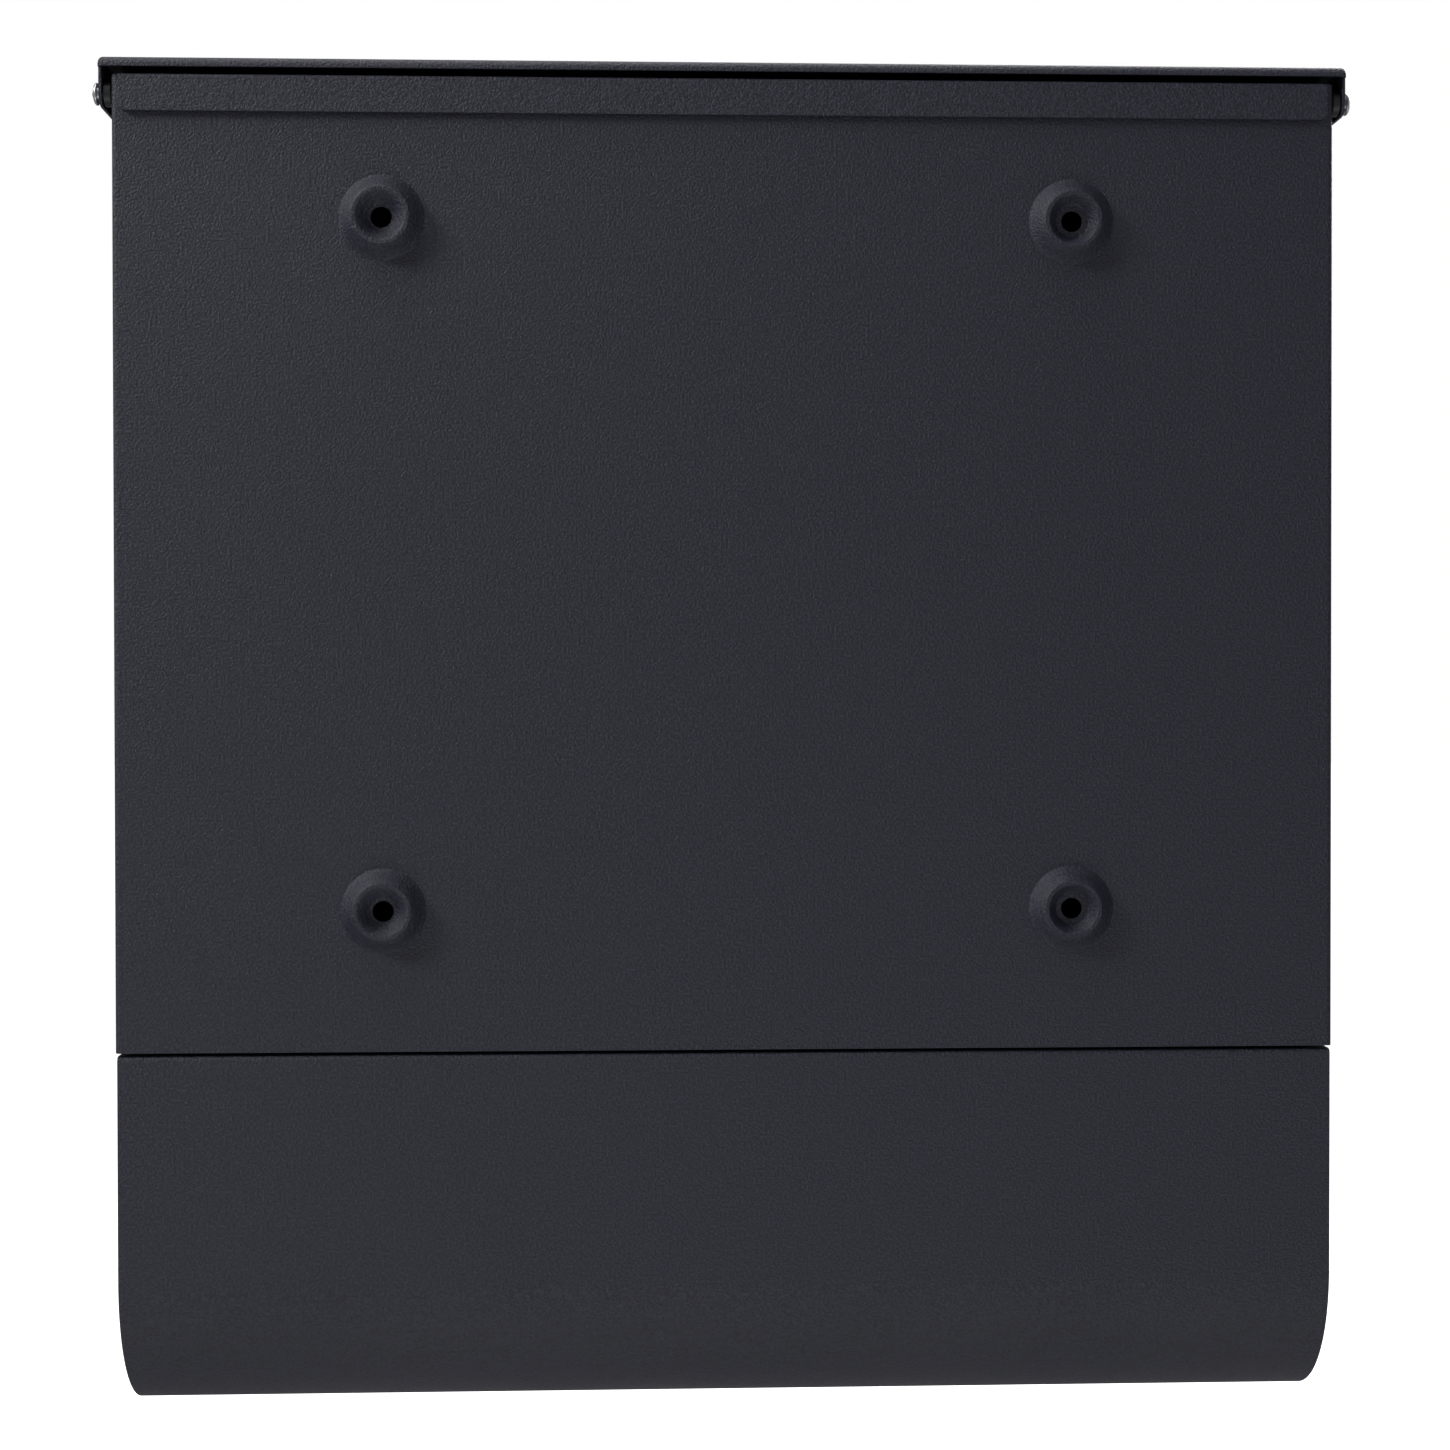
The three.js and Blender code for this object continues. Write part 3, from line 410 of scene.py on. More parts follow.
def turned(name: str, axis: Axis, centre: Vector, outline: Sequence[tuple[float, float]], sides: int = 48) -> Bench:
    """Makes a turned piece: a circle drawn out ring by ring along its axis.

    Args:
        name: the piece's name.
        axis: its axis.
        centre: the point on the axis that distances are counted from.
        outline: (radius, distance) of each ring. It is closed from last to first if the first radius comes
            again at the end, and capped at both ends if it doesn't.
        sides: how many edges go round.

    Returns:
        The bench that holds it.
    """
    closed = outline[0] == outline[-1]
    rings = outline[:-1] if closed else outline
    start = centre + axis.unit * rings[0][1]
    bench = Bench(
        name,
        bpy.ops.mesh.primitive_circle_add,
        vertices=sides,
        radius=rings[0][0],
        fill_type="NOTHING" if closed else "NGON",
        location=start,
        rotation=axis.value,
    )
    bpy.ops.mesh.select_all(action="SELECT")
    bpy.ops.mesh.select_mode(type="EDGE")
    for (radius, place), (wider, further) in zip(rings, rings[1:]):
        move = axis.unit * (further - place)
        bench.extrude_ring(wider / radius, move, centre + axis.unit * place, axis)
    if closed:
        bench.pick(Kind.EDGES, lambda edge: edge.is_boundary)
        bpy.ops.mesh.bridge_edge_loops()
    return bench


def block(name: str, low: Point, high: Point) -> Bench:
    """Starts a piece with a square-cornered block between two opposite corners."""
    centre = (Vector(low) + Vector(high)) / 2
    size = Vector(high) - Vector(low)
    return Bench(name, bpy.ops.mesh.primitive_cube_add, size=1.0, location=centre, scale=size)


def folded(name: str, axis: Axis, reach: tuple[float, float], corners: Sequence[tuple[float, ...]]) -> Bench:
    """Folds a strip of sheet, as its middle surface.

    Args:
        name: the piece's name.
        axis: the row axis that the folds run along.
        reach: the strip's ends along that axis.
        corners: its outline across the folds, along the other two axes in order; a corner may add the fold's
            radius, and after that how many steps it is made in.

    Returns:
        The bench that holds it.
    """
    one, two = axis.others
    points = [one * corner[0] + two * corner[1] for corner in corners]
    across = next(other for other in Axis if other.unit == two)
    spans = {axis: reach, next(other for other in Axis if other.unit == one): (corners[0][0], corners[0][0] + 1)}
    first, second = (spans[other] for other in Axis if other is not across)
    bench = panel(name, across, corners[0][1], first, second)
    bench.pick(Kind.VERTS, lambda vert: (vert.co - points[0]).dot(one) > 0.5)
    bpy.ops.mesh.delete(type="VERT")
    bench.pick(Kind.EDGES, lambda edge: True)
    for point, further in zip(points, points[1:]):
        bench.extrude(further - point)
    for i, corner in enumerate(corners):
        if len(corner) > 2:
            turn = (points[i] - points[i - 1]).angle(points[i + 1] - points[i])
            steps = int(corner[3]) if len(corner) > 3 else 8
            bench.pick(Kind.EDGES, along(axis, points[i]))
            bench.bevel(corner[2] * math.tan(turn / 2), steps)
    return bench


def along(axis: Axis, place: Vector) -> Test:
    """Makes a test for edges that lie on the line along an axis through a place."""

    def test(edge: bmesh.types.BMEdge) -> bool:
        """Whether both its ends lie on the line."""
        offs = [vert.co - place for vert in edge.verts]
        return all((off - axis.unit * off.dot(axis.unit)).length < NEAR for off in offs)

    return test


def ease(step: float) -> float:
    """A rise from 0 to 1, nearly straight and a little rounded at both ends, as sheet takes over a die."""
    return 0.65 * step + 0.35 * step * step * (3 - 2 * step)


def spread(start: float, end: float, steps: int) -> list[float]:
    """Even steps from a start up to, and without, an end."""
    return [start + (end - start) * i / steps for i in range(steps)]


def threaded(radius: float, start: float, end: float, pitch: float, depth: float) -> list[tuple[float, float]]:
    """The outline of a threaded length, as rings at its pitch, with a chamfer at each end.

    Args:
        radius: over the thread.
        start: where it begins.
        end: where it ends.
        pitch: from crest to crest.
        depth: from crest to root.

    Returns:
        Its rings as (radius, distance).
    """
    turns = int((end - start) / pitch) - 1
    rings = [(radius - depth, start), (radius - depth, start + pitch * 0.2)]
    for i in range(turns):
        place = start + pitch * (i + 0.5)
        rings += [(radius, place), (radius, place + pitch * 0.15), (radius - depth, place + pitch * 0.55)]
        rings.append((radius - depth, place + pitch * 0.65))
    return [*rings, (radius - depth, end)]


def pan_head(radius: float, seat: float, top: float) -> list[tuple[float, float]]:
    """The outline of a screw's pan head from its seat to its top, as rings of (radius, distance)."""
    wall = seat + (top - seat) * 0.42
    rings = [(radius - 0.15, seat), (radius, seat + 0.15), (radius, wall)]
    for i in range(1, 8):
        angle = math.pi / 2 * i / 8
        rings.append((radius * (0.45 + 0.55 * math.cos(angle)), wall + (top - wall) * math.sin(angle)))
    return [*rings, (radius * 0.45, top)]


def recess(bench: Bench, axis: Axis, top: Vector, reach: float, half: float, depth: float) -> None:
    """Cuts a cross recess in a screw's head.

    Args:
        bench: the screw.
        axis: the screw's axis.
        top: the middle of the head's top.
        reach: how far each arm goes from the middle.
        half: half the width of an arm.
        depth: how deep it is.
    """
    one, two = axis.others
    for long, short in ((one, two), (two, one)):
        low = top - long * reach - short * half - axis.unit * depth
        high = top + long * reach + short * half + axis.unit
        bench.cut_box(tuple(low), tuple(high))


def hexagon_nut(node: str, axis: Axis, bore: float) -> Bench:
    """Makes a chamfered hexagon nut that fills a CAD node's box.

    Args:
        node: the CAD node.
        axis: the nut's axis.
        bore: the radius of its hole.

    Returns:
        The bench that holds it.
    """
    box = Extent.of(node)
    size = box.high - box.low
    height = abs(size.dot(axis.unit))
    sides = sorted(size.dot(across) for across in axis.others)
    flats, points = sides[0] / 2, sides[1] / 2
    centre = box.middle
    widest_first = size.dot(axis.others[0]) > size.dot(axis.others[1])
    bench = Bench(
        node + "_hexagon",
        bpy.ops.mesh.primitive_cylinder_add,
        vertices=6,
        radius=points,
        depth=height,
        location=centre,
        rotation=axis.value,
    )
    corner = max((vert.co - centre).dot(axis.others[0]) for vert in bench.mesh.verts)
    if (corner > points - NEAR) != widest_first:
        bpy.ops.mesh.select_all(action="SELECT")
        bpy.ops.transform.rotate(value=math.pi / 6, orient_axis=axis.name, center_override=centre)
    drop = (points - flats) * 0.6
    lens = [(flats * 0.98, -height / 2), (points + 0.01, -height / 2 + drop)]
    lens += [(points + 0.01, height / 2 - drop), (flats * 0.98, height / 2)]
    bench.carve(turned("chamfer", axis, centre, lens, 64), "INTERSECT")
    bench.drill(axis, centre, bore, height + 2)
    return bench.soften(0.06, 2, 75.0)


# ----------------------------------------------------------------------------------------------------------
# Finishes
# ----------------------------------------------------------------------------------------------------------


def linear(colour: str) -> tuple[float, float, float, float]:
    """Turns an sRGB hex colour into a linear one, with full alpha."""
    parts = [int(colour[i : i + 2], 16) / 255 for i in (1, 3, 5)]
    turned_parts = [part / 12.92 if part <= 0.04045 else ((part + 0.055) / 1.055) ** 2.4 for part in parts]
    return (*turned_parts, 1.0)


def node(
    tree: bpy.types.NodeTree, kind: str, inputs: dict[str, object] | None = None, **settings: object
) -> bpy.types.Node:
    """Adds a node with its settings and links.

    Args:
        tree: the tree that it goes in.
        kind: its type, without the ShaderNode that each begins with.
        inputs: for an input socket's name, a value or the output socket to link to it.
        **settings: the node's own settings.

    Returns:
        The node.
    """
    made = tree.nodes.new("ShaderNode" + kind)
    for name, value in settings.items():
        setattr(made, name, value)
    for name, value in (inputs or {}).items():
        if isinstance(value, bpy.types.NodeSocket):
            tree.links.new(value, made.inputs[name])
        else:
            made.inputs[name].default_value = value
    return made


@dataclass(frozen=True)
class Finish:
    """What a piece is made of and how its surface was made."""

    name: str
    slot: str
    colour: str
    roughness: float
    metallic: float = 0.0

    def material(self) -> bpy.types.Material:
        """The finish's material, made the first time it is asked for."""
        return bpy.data.materials.get(self.name) or self.make()

    def make(self) -> bpy.types.Material:
        """Makes the material from the plain values, then adds its detail."""
        material = bpy.data.materials.new(self.name)
        material.use_nodes = True
        tree = material.node_tree
        shader = tree.nodes["Principled BSDF"]
        shader.inputs["Base Color"].default_value = linear(self.colour)
        shader.inputs["Roughness"].default_value = self.roughness
        shader.inputs["Metallic"].default_value = self.metallic
        place = node(tree, "TexCoord").outputs["Object"]
        self.detail(tree, shader, place)
        return material

    def detail(self, tree: bpy.types.NodeTree, shader: bpy.types.Node, place: bpy.types.NodeSocket) -> None:
        """Adds what makes the surface more than one flat colour.

        Args:
            tree: the material's tree.
            shader: its surface shader.
            place: the socket that gives a point's place in metres.
        """

    @staticmethod
    def noise(
        tree: bpy.types.NodeTree, place: bpy.types.NodeSocket, grain: float, detail: float = 2.0
    ) -> bpy.types.NodeSocket:
        """Adds a noise and gives its value.

        Args:
            tree: the material's tree.
            place: the socket that gives a point's place.
            grain: the size of its spots, in millimetres.
            detail: how many finer layers it has.
        """
        inputs = {"Vector": place, "Scale": 1 / (grain * MM), "Detail": detail, "Roughness": 0.6}
        return node(tree, "TexNoise", inputs).outputs["Fac"]

    @staticmethod
    def between(
        tree: bpy.types.NodeTree, value: bpy.types.NodeSocket, reach: tuple[float, float], to: tuple[float, float]
    ) -> bpy.types.NodeSocket:
        """Spreads a value from one reach over another.

        Args:
            tree: the material's tree.
            value: the value's socket.
            reach: where the value usually lies.
            to: what the ends of that reach become.
        """
        inputs = {"Value": value, "From Min": reach[0], "From Max": reach[1], "To Min": to[0], "To Max": to[1]}
        return node(tree, "MapRange", inputs).outputs["Result"]


@dataclass(frozen=True)
class PowderCoat(Finish):
    """Anthracite polyester powder coat, baked to a fine sand texture: grains catch the light one by one."""

    grain: float = 0.7  # the real grain is about 0.2 mm, too fine to show, so it is drawn coarser
    cloud: float = 70.0  # broad, faint unevenness of the coat
    lift: float = 0.5  # height of the grains, in millimetres
    # colour of the lighter grains: painted glints, spread at random over the whole coat
    painted_glint_colour: str = "#2e2f41"

    def detail(self, tree: bpy.types.NodeTree, shader: bpy.types.Node, place: bpy.types.NodeSocket) -> None:
        """Adds the grains as bump and roughness, and as painted glints: lighter grains mixed into the colour."""
        grains = self.noise(tree, place, self.grain, 3.0)
        clouds = self.noise(tree, place, self.cloud, 1.0)
        # mask of the grains that are painted lighter, as glints
        light = self.between(tree, grains, (0.42, 0.62), (0.0, 1.0))
        colour = node(tree, "MixRGB", {"Fac": light, "Color1": linear(self.colour), "Color2": linear(self.painted_glint_colour)})
        tree.links.new(colour.outputs["Color"], shader.inputs["Base Color"])
        rough = self.between(tree, clouds, (0.3, 0.7), (self.roughness - 0.04, self.roughness + 0.04))
        tree.links.new(rough, shader.inputs["Roughness"])
        bump = node(tree, "Bump", {"Height": grains, "Strength": 1.0, "Distance": self.lift * MM})
        tree.links.new(bump.outputs["Normal"], shader.inputs["Normal"])


@dataclass(frozen=True)
class PlatedMetal(Finish):
    """Plated or bare metal with a brushed or tumbled surface: fine marks break up its reflections."""

    mark: float = 0.8  # spacing of the marks, in millimetres
    lift: float = 0.01
    spread: float = 0.08  # how far the roughness strays

    def detail(self, tree: bpy.types.NodeTree, shader: bpy.types.Node, place: bpy.types.NodeSocket) -> None:
        """Adds the marks as roughness and a little bump."""
        marks = self.noise(tree, place, self.mark, 4.0)
        rough = self.between(
            tree, marks, (0.3, 0.7), (max(self.roughness - self.spread, 0.02), self.roughness + self.spread)
        )
        tree.links.new(rough, shader.inputs["Roughness"])
        bump = node(tree, "Bump", {"Height": marks, "Strength": 0.4, "Distance": self.lift * MM})
        tree.links.new(bump.outputs["Normal"], shader.inputs["Normal"])


@dataclass(frozen=True)
class Moulded(Finish):
    """Moulded rubber or plastic: an even skin with the faint grain of its mould."""

    grain: float = 0.5
    lift: float = 0.02

    def detail(self, tree: bpy.types.NodeTree, shader: bpy.types.Node, place: bpy.types.NodeSocket) -> None:
        """Adds the mould's grain."""
        grains = self.noise(tree, place, self.grain, 2.0)
        rough = self.between(tree, grains, (0.3, 0.7), (self.roughness - 0.05, self.roughness + 0.05))
        tree.links.new(rough, shader.inputs["Roughness"])
        bump = node(tree, "Bump", {"Height": grains, "Strength": 0.5, "Distance": self.lift * MM})
        tree.links.new(bump.outputs["Normal"], shader.inputs["Normal"])


@dataclass(frozen=True)
class ClearSheet(Finish):
    """Clear acrylic sheet: glassy, with the faintest waviness."""

    def detail(self, tree: bpy.types.NodeTree, shader: bpy.types.Node, place: bpy.types.NodeSocket) -> None:
        """Lets light through and waves the surface a little."""
        shader.inputs["Transmission Weight"].default_value = 1.0
        shader.inputs["IOR"].default_value = 1.49
        waves = self.noise(tree, place, 12.0, 1.0)
        bump = node(tree, "Bump", {"Height": waves, "Strength": 0.2, "Distance": 0.02 * MM})
        tree.links.new(bump.outputs["Normal"], shader.inputs["Normal"])


ANTHRACITE = PowderCoat("sand_textured_powder_coat", "anthracite_powder_coat", "#181925", 0.46)
ZINC_PLATE = PlatedMetal("zinc_plate", "zinc_plated_steel", "#b9bcc2", 0.34, 1.0)
RIVET_METAL = PlatedMetal("tumbled_aluminium", "rivet_aluminium", "#c9cacc", 0.38, 1.0)
CHROME_PLATE = PlatedMetal("chrome_plate", "lock_chrome", "#d8dadd", 0.1, 1.0, mark=1.5, lift=0.002, spread=0.04)
NYLON = Moulded("moulded_nylon", "black_nylon", "#1c1d20", 0.45)
RUBBER = Moulded("moulded_rubber", "black_rubber", "#151516", 0.8, lift=0.04)
CARD = Moulded("uncoated_card", "white_card", "#efeee9", 0.85, grain=0.3, lift=0.03)
ACRYLIC = ClearSheet("clear_acrylic", "clear_window", "#ffffff", 0.04)


# ----------------------------------------------------------------------------------------------------------
# Cabinet
# ----------------------------------------------------------------------------------------------------------


@dataclass
class SheetMetal:
    """What all folded pieces share."""

    sheet: float = 1.0
    fold: float = 1.0  # radius of a fold, at the middle of the sheet
    fold_steps: int = 8
    hem: float = 1.2  # between the leaves of a flattened fold, middle to middle
    edge: float = 0.14  # how far the coat rounds a cut edge

    @property
    def half(self) -> float:
        """Half the sheet's thickness."""
        return self.sheet / 2

    @property
    def hem_fold(self) -> float:
        """The radius of a flattened fold, a hair less than half its width so that it keeps its middle line."""
        return self.hem / 2 - NEAR


@dataclass
class Cabinet(SheetMetal):
    """The folded cabinet, with its pressed bosses, and the folded pieces fixed inside it."""

    boss_height: float = 4.2
    boss_foot: float = 12.4
    boss_crest: tuple[float, float] = (7.2, 8.2)
    boss_dishes: tuple[float, float] = (4.6, 3.5)  # flat floor round the hole, at the -X and the +X side
    dish_height: float = 0.8
    hole: float = 3.0
    hole_edge: float = 0.2
    spacing: tuple[float, float] = (200.0, 200.0)
    slope_steps: int = 10
    top_hem: float = 10.7
    top_hem_inset: float = 2.0
    hem_corner: float = 2.5
    relief: tuple[float, float] = (0.22, 1.7)  # slit beside the top fold, width and depth
    side_hem: float = 8.0
    pivot_bore: float = 2.1
    pin_bore: float = 2.25
    screw_bore: float = 2.25
    screw_rows: tuple[float, float] = (20.0, 58.0)  # ahead of the back panel
    screw_out: float = 120.0
    rail_shelf: tuple[float, float] = (16.0, 14.0)  # depth of a rail's shelf, below and above
    guard_lip: float = 7.0
    guard_tab: float = 11.0
    strike_leg: float = 19.0

    def build(self) -> None:
        """Builds every piece that is fixed to the cabinet."""
        self.shell()
        self.floor()
        self.rail()
        self.guard()
        self.strike()
        for place in ("upper", "lower"):
            self.buffer(f"door_buffer_{place}")

    def shell(self) -> bpy.types.Object:
        """Folds the cabinet from one sheet and presses its four bosses."""
        box = Extent.of("cabinet_shell")
        side, nose = box.high.x - self.half, box.low.y + self.half
        back = box.high.y - self.boss_height - self.half
        bottom, top = box.low.z, box.high.z
        fold_top = top - self.half
        hem_side = box.high.x - self.top_hem_inset
        slit = hem_side + self.relief[0]
        whole = lambda face: True

        bench = panel("cabinet_sheet", Axis.Y, back, (0.0, side), (bottom, top))
        for axis, place in ((Axis.X, hem_side), (Axis.X, slit), (Axis.Z, fold_top), (Axis.Z, top - self.relief[1])):
            bench.slice(axis, place, whole)
        bench.drop(at(x=(0.0, slit), z=(fold_top, top)))
        bench.drop(at(x=(hem_side, slit), z=(top - self.relief[1], top)))

        bench.pick(Kind.EDGES, at(x=side)).extrude((0, nose - back, 0))
        bench.extrude((-self.hem, 0, 0)).extrude((0, self.side_hem - self.half, 0))
        bench.pick(Kind.EDGES, at(x=(0.0, hem_side), z=fold_top, y=back))
        bench.extrude((0, self.hem, 0)).extrude((0, 0, top - self.top_hem - fold_top))

        bench.pick(Kind.VERTS, at(x=hem_side, y=back + self.hem, z=top - self.top_hem))
        bench.bevel(self.hem_corner, self.fold_steps, corners=True)
        for y in (back, back + self.hem):
            bench.pick(Kind.EDGES, at(z=fold_top, x=(0.0, hem_side), y=y), more=y > back)
        bench.bevel(self.hem_fold, self.fold_steps)
        bench.pick(Kind.EDGES, at(x=side, y=back)).bevel(self.fold, self.fold_steps)
        bench.pick(Kind.EDGES, at(x=side, y=nose))
        bench.pick(Kind.EDGES, at(x=side - self.hem, y=nose), more=True).bevel(self.hem_fold, self.fold_steps)

        pivot = Extent.of("lid_rivet_right").middle
        bench.mirror().thicken(self.sheet)
        for x in (-side, side):
            bench.drill(Axis.X, Vector((x, pivot.y, pivot.z)), self.pivot_bore, 2.2)
        bench.soften(self.edge)
        for x in (-self.spacing[0] / 2, self.spacing[0] / 2):
            for z in (-self.spacing[1] / 2, self.spacing[1] / 2):
                self.press_boss(bench, Vector((x, 0.0, z)), back)
        return bench.finish("cabinet", ANTHRACITE, "cabinet_shell")

    def boss_rise(self, radius: float, dish: float) -> float:
        """How far a boss stands off the back panel at a radius from its hole.

        Args:
            radius: the radius.
            dish: the radius of its flat floor.
        """
        inner, outer = self.boss_crest
        if radius >= outer:
            return self.boss_height * ease(max(self.boss_foot - radius, 0) / (self.boss_foot - outer))
        if radius >= inner:
            return self.boss_height
        climb = ease(max(radius - dish, 0) / (inner - dish))
        return self.dish_height + (self.boss_height - self.dish_height) * climb

    def boss_rings(self, dish: float) -> list[tuple[float, float]]:
        """A boss's rings from its foot to its hole, as (radius, height), for the radius of its flat floor."""
        inner, outer = self.boss_crest
        radii = [
            *spread(self.boss_foot, outer, self.slope_steps),
            *spread(outer, inner, 2),
            *spread(inner, dish, self.slope_steps),
            dish,
        ]
        rings = [(radius, self.boss_rise(radius, dish)) for radius in radii]
        return [*rings, (self.hole + self.hole_edge, self.dish_height)]

    def press_boss(self, bench: Bench, centre: Vector, back: float) -> None:
        """Presses one boss into both faces of the back panel and joins them round its hole.

        Args:
            bench: the cabinet, already thick.
            centre: the hole's centre.
            back: the middle of the back panel's sheet.
        """
        open_mode("EDIT")
        foot = self.boss_foot + self.sheet
        for sign in (1, -1):
            face = back + sign * self.half
            bench.punch(Axis.Y, Vector((centre.x, face, centre.z)), foot + 2.0, foot, 64)
            dish = self.boss_dishes[centre.x > 0]
            rings = [(foot, 0.0), *self.boss_rings(dish), (self.hole, self.dish_height - sign * self.hole_edge)]
            for (radius, height), (narrower, higher) in zip(rings, rings[1:]):
                middle = Vector((centre.x, face + height, centre.z))
                bench.extrude_ring(narrower / radius, Vector((0, higher - height, 0)), middle, Axis.Y)
        bench.pick(Kind.EDGES, lambda edge: edge.is_boundary and ringed(edge, centre, self.hole, Axis.Y))
        bpy.ops.mesh.bridge_edge_loops()

    def screw_places(self, height: float) -> list[Vector]:
        """Where the roll's four screws pass a height."""
        back = Extent.of("newspaper_roll").high.y
        return [Vector((x, back - row, height)) for x in (-self.screw_out, self.screw_out) for row in self.screw_rows]

    def floor(self) -> bpy.types.Object:
        """Folds the floor tray: upturned rims at the back and sides, and a sill that the door's pin turns in."""
        box = Extent.of("floor_tray")
        pin = Extent.of("door_pin_bottom").middle
        level, shelf = box.low.z + self.half, box.high.z - self.half
        front, rear, side = box.low.y + self.half, box.high.y - self.half, box.high.x - self.half
        rim = Extent.of("floor_tray").low.z + 12.8
        lap = Extent.of("top_rail").high.x
        whole = lambda face: True

        bench = panel("floor_sheet", Axis.Z, level, (0.0, side), (front, rear))
        ends = (front + self.side_hem, rear - self.sheet)
        for axis, place in ((Axis.X, lap), (Axis.Y, ends[0]), (Axis.Y, ends[1])):
            bench.slice(axis, place, whole)
        bench.drop(at(x=(lap, side), y=(front, ends[0])))
        bench.drop(at(x=(lap, side), y=(ends[1], rear)))
        bench.pick(Kind.EDGES, at(y=front)).extrude((0, 0, shelf - level))
        bench.extrude((0, self.rail_shelf[0] - self.half, 0))
        bench.pick(Kind.EDGES, at(y=rear)).extrude((0, 0, rim - level))
        bench.pick(Kind.EDGES, at(x=side, y=ends)).extrude((0, 0, rim - level))
        for y, z in ((front, level), (front, shelf), (rear, level)):
            bench.pick(Kind.EDGES, at(x=(0.0, lap), y=y, z=z)).bevel(self.fold, self.fold_steps)
        bench.pick(Kind.EDGES, at(x=side, z=level)).bevel(side - lap - NEAR * 10, self.fold_steps)
        bench.mirror().thicken(self.sheet)
        bench.drill(Axis.Z, Vector((pin.x, pin.y, shelf)), self.pin_bore)
        for place in self.screw_places(level):
            bench.drill(Axis.Z, place, self.screw_bore)
        return bench.soften(self.edge).finish("cabinet", ANTHRACITE, "floor_tray")

    def rail(self) -> bpy.types.Object:
        """Folds the rail over the door, open to the back like a C."""
        box = Extent.of("top_rail")
        pin = Extent.of("door_pin_top").middle
        front, low, high = box.low.y + self.half, box.low.z + self.half, box.high.z - self.half
        corners = [
            (box.low.y + self.rail_shelf[0], low),
            (front, low, self.fold),
            (front, high, self.fold),
            (box.low.y + self.rail_shelf[1], high),
        ]
        bench = folded("rail_sheet", Axis.X, (box.low.x, box.high.x), corners).thicken(self.sheet)
        bench.drill(Axis.Z, Vector((pin.x, pin.y, low)), self.pin_bore)
        return bench.soften(self.edge).finish("cabinet", ANTHRACITE, "top_rail")

    def guard(self) -> bpy.types.Object:
        """Folds the sloping plate under the letter slot, with a tab down each side."""
        box = Extent.of("letter_guard")
        start, end = box.low.y + self.half, box.high.y - self.half
        side = box.high.x - self.half
        bend, foot = box.high.z - self.guard_lip, box.low.z + self.guard_lip
        corners = [(start, box.high.z), (start, bend, 2.0), (end, foot, 2.0), (end, box.low.z)]
        bench = folded("guard_sheet", Axis.X, (-side, side), corners)
        slope = lambda edge: edge.is_boundary and all(abs(v.co.x) > side - NEAR for v in edge.verts)
        longest = lambda edge: slope(edge) and edge.calc_length() > self.guard_lip * 2
        bench.pick(Kind.EDGES, longest).extrude((0, 0, -self.guard_tab))
        bench.thicken(self.sheet).soften(self.edge)
        return bench.finish("cabinet", ANTHRACITE, "letter_guard")

    def strike(self) -> bpy.types.Object:
        """Folds the angle that the lock's cam turns behind."""
        box = Extent.of("strike_bracket")
        plate, leg = box.low.y + self.half, box.high.x - self.half
        corners = [(box.low.x, plate), (leg, plate, self.fold), (leg, box.high.y)]
        bench = folded("strike_sheet", Axis.Z, (box.low.z, box.high.z), corners)
        bench.pick(Kind.VERTS, at(x=box.low.x)).bevel(2.0, 6, corners=True)
        bench.thicken(self.sheet).soften(self.edge)
        return bench.finish("cabinet", ANTHRACITE, "strike_bracket")

    def buffer(self, name: str) -> bpy.types.Object:
        """Moulds one of the rubber pads that the door closes on."""
        box = Extent.of(name)
        bench = block(name + "_pad", box.low, box.high)
        bench.soften(0.9, 5)
        return bench.finish("cabinet", RUBBER, name)


@dataclass
class NewspaperRoll(SheetMetal):
    """The newspaper roll and the screws that hang it under the floor."""

    shelf: float = 72.0  # depth of the flange under the floor
    lip: float = 8.0
    upright: float = 19.05  # straight front above the curve
    curve_steps: int = 28
    screw_radius: float = 1.95
    thread: float = 0.7  # pitch
    thread_depth: float = 0.3

    def build(self) -> None:
        """Builds the roll with its screws and nuts."""
        self.body()
        for place in ("rear_left", "rear_right", "front_left", "front_right"):
            self.screw(place)
            self.nut(place)

    def body(self) -> bpy.types.Object:
        """Rolls the sheet: a flange under the floor, down the back, round, and up the front to a flattened lip."""
        box = Extent.of("newspaper_roll")
        top, low = box.high.z - self.half, box.low.z + self.half
        back, front = box.high.y - self.half, box.low.y + self.half
        curve = (back - front) / 2
        lip = low + curve + self.upright - self.half
        corners = [
            (box.high.y - self.shelf, top),
            (back, top, self.fold, self.fold_steps),
            (back, low, curve - NEAR, self.curve_steps),
            (front, low, curve - NEAR, self.curve_steps),
            (front, lip, self.hem_fold, self.fold_steps),
            (front + self.hem, lip, self.hem_fold, self.fold_steps),
            (front + self.hem, lip - self.lip),
        ]
        bench = folded("roll_sheet", Axis.X, (box.low.x, box.high.x), corners).thicken(self.sheet)
        for place in Cabinet().screw_places(top):
            bench.drill(Axis.Z, place, Cabinet.screw_bore)
        return bench.soften(self.edge).finish("cabinet", ANTHRACITE, "newspaper_roll")

    def screw(self, place: str) -> bpy.types.Object:
        """Turns one pan-head screw with its thread and its cross recess, head up."""
        box = Extent.of(f"roll_screw_{place}")
        middle, height = box.middle, box.high.z - box.low.z
        centre = Vector((middle.x, middle.y, box.low.z))
        seat, head = height - 2.6, (box.high.x - box.low.x) / 2
        outline = threaded(self.screw_radius, 0.0, seat, self.thread, self.thread_depth)
        outline += pan_head(head, seat, height)
        bench = turned(f"pan_head_screw_{place}", Axis.Z, centre, outline, 40)
        recess(bench, Axis.Z, centre + Vector((0, 0, height)), 2.1, 0.5, 1.3)
        return bench.soften(0.06, 2, 55.0).finish("cabinet", ZINC_PLATE, f"roll_screw_{place}")

    def nut(self, place: str) -> bpy.types.Object:
        """Makes one hexagon nut."""
        name = f"roll_nut_{place}"
        return hexagon_nut(name, Axis.Z, self.screw_radius + 0.15).finish("cabinet", ZINC_PLATE, name)


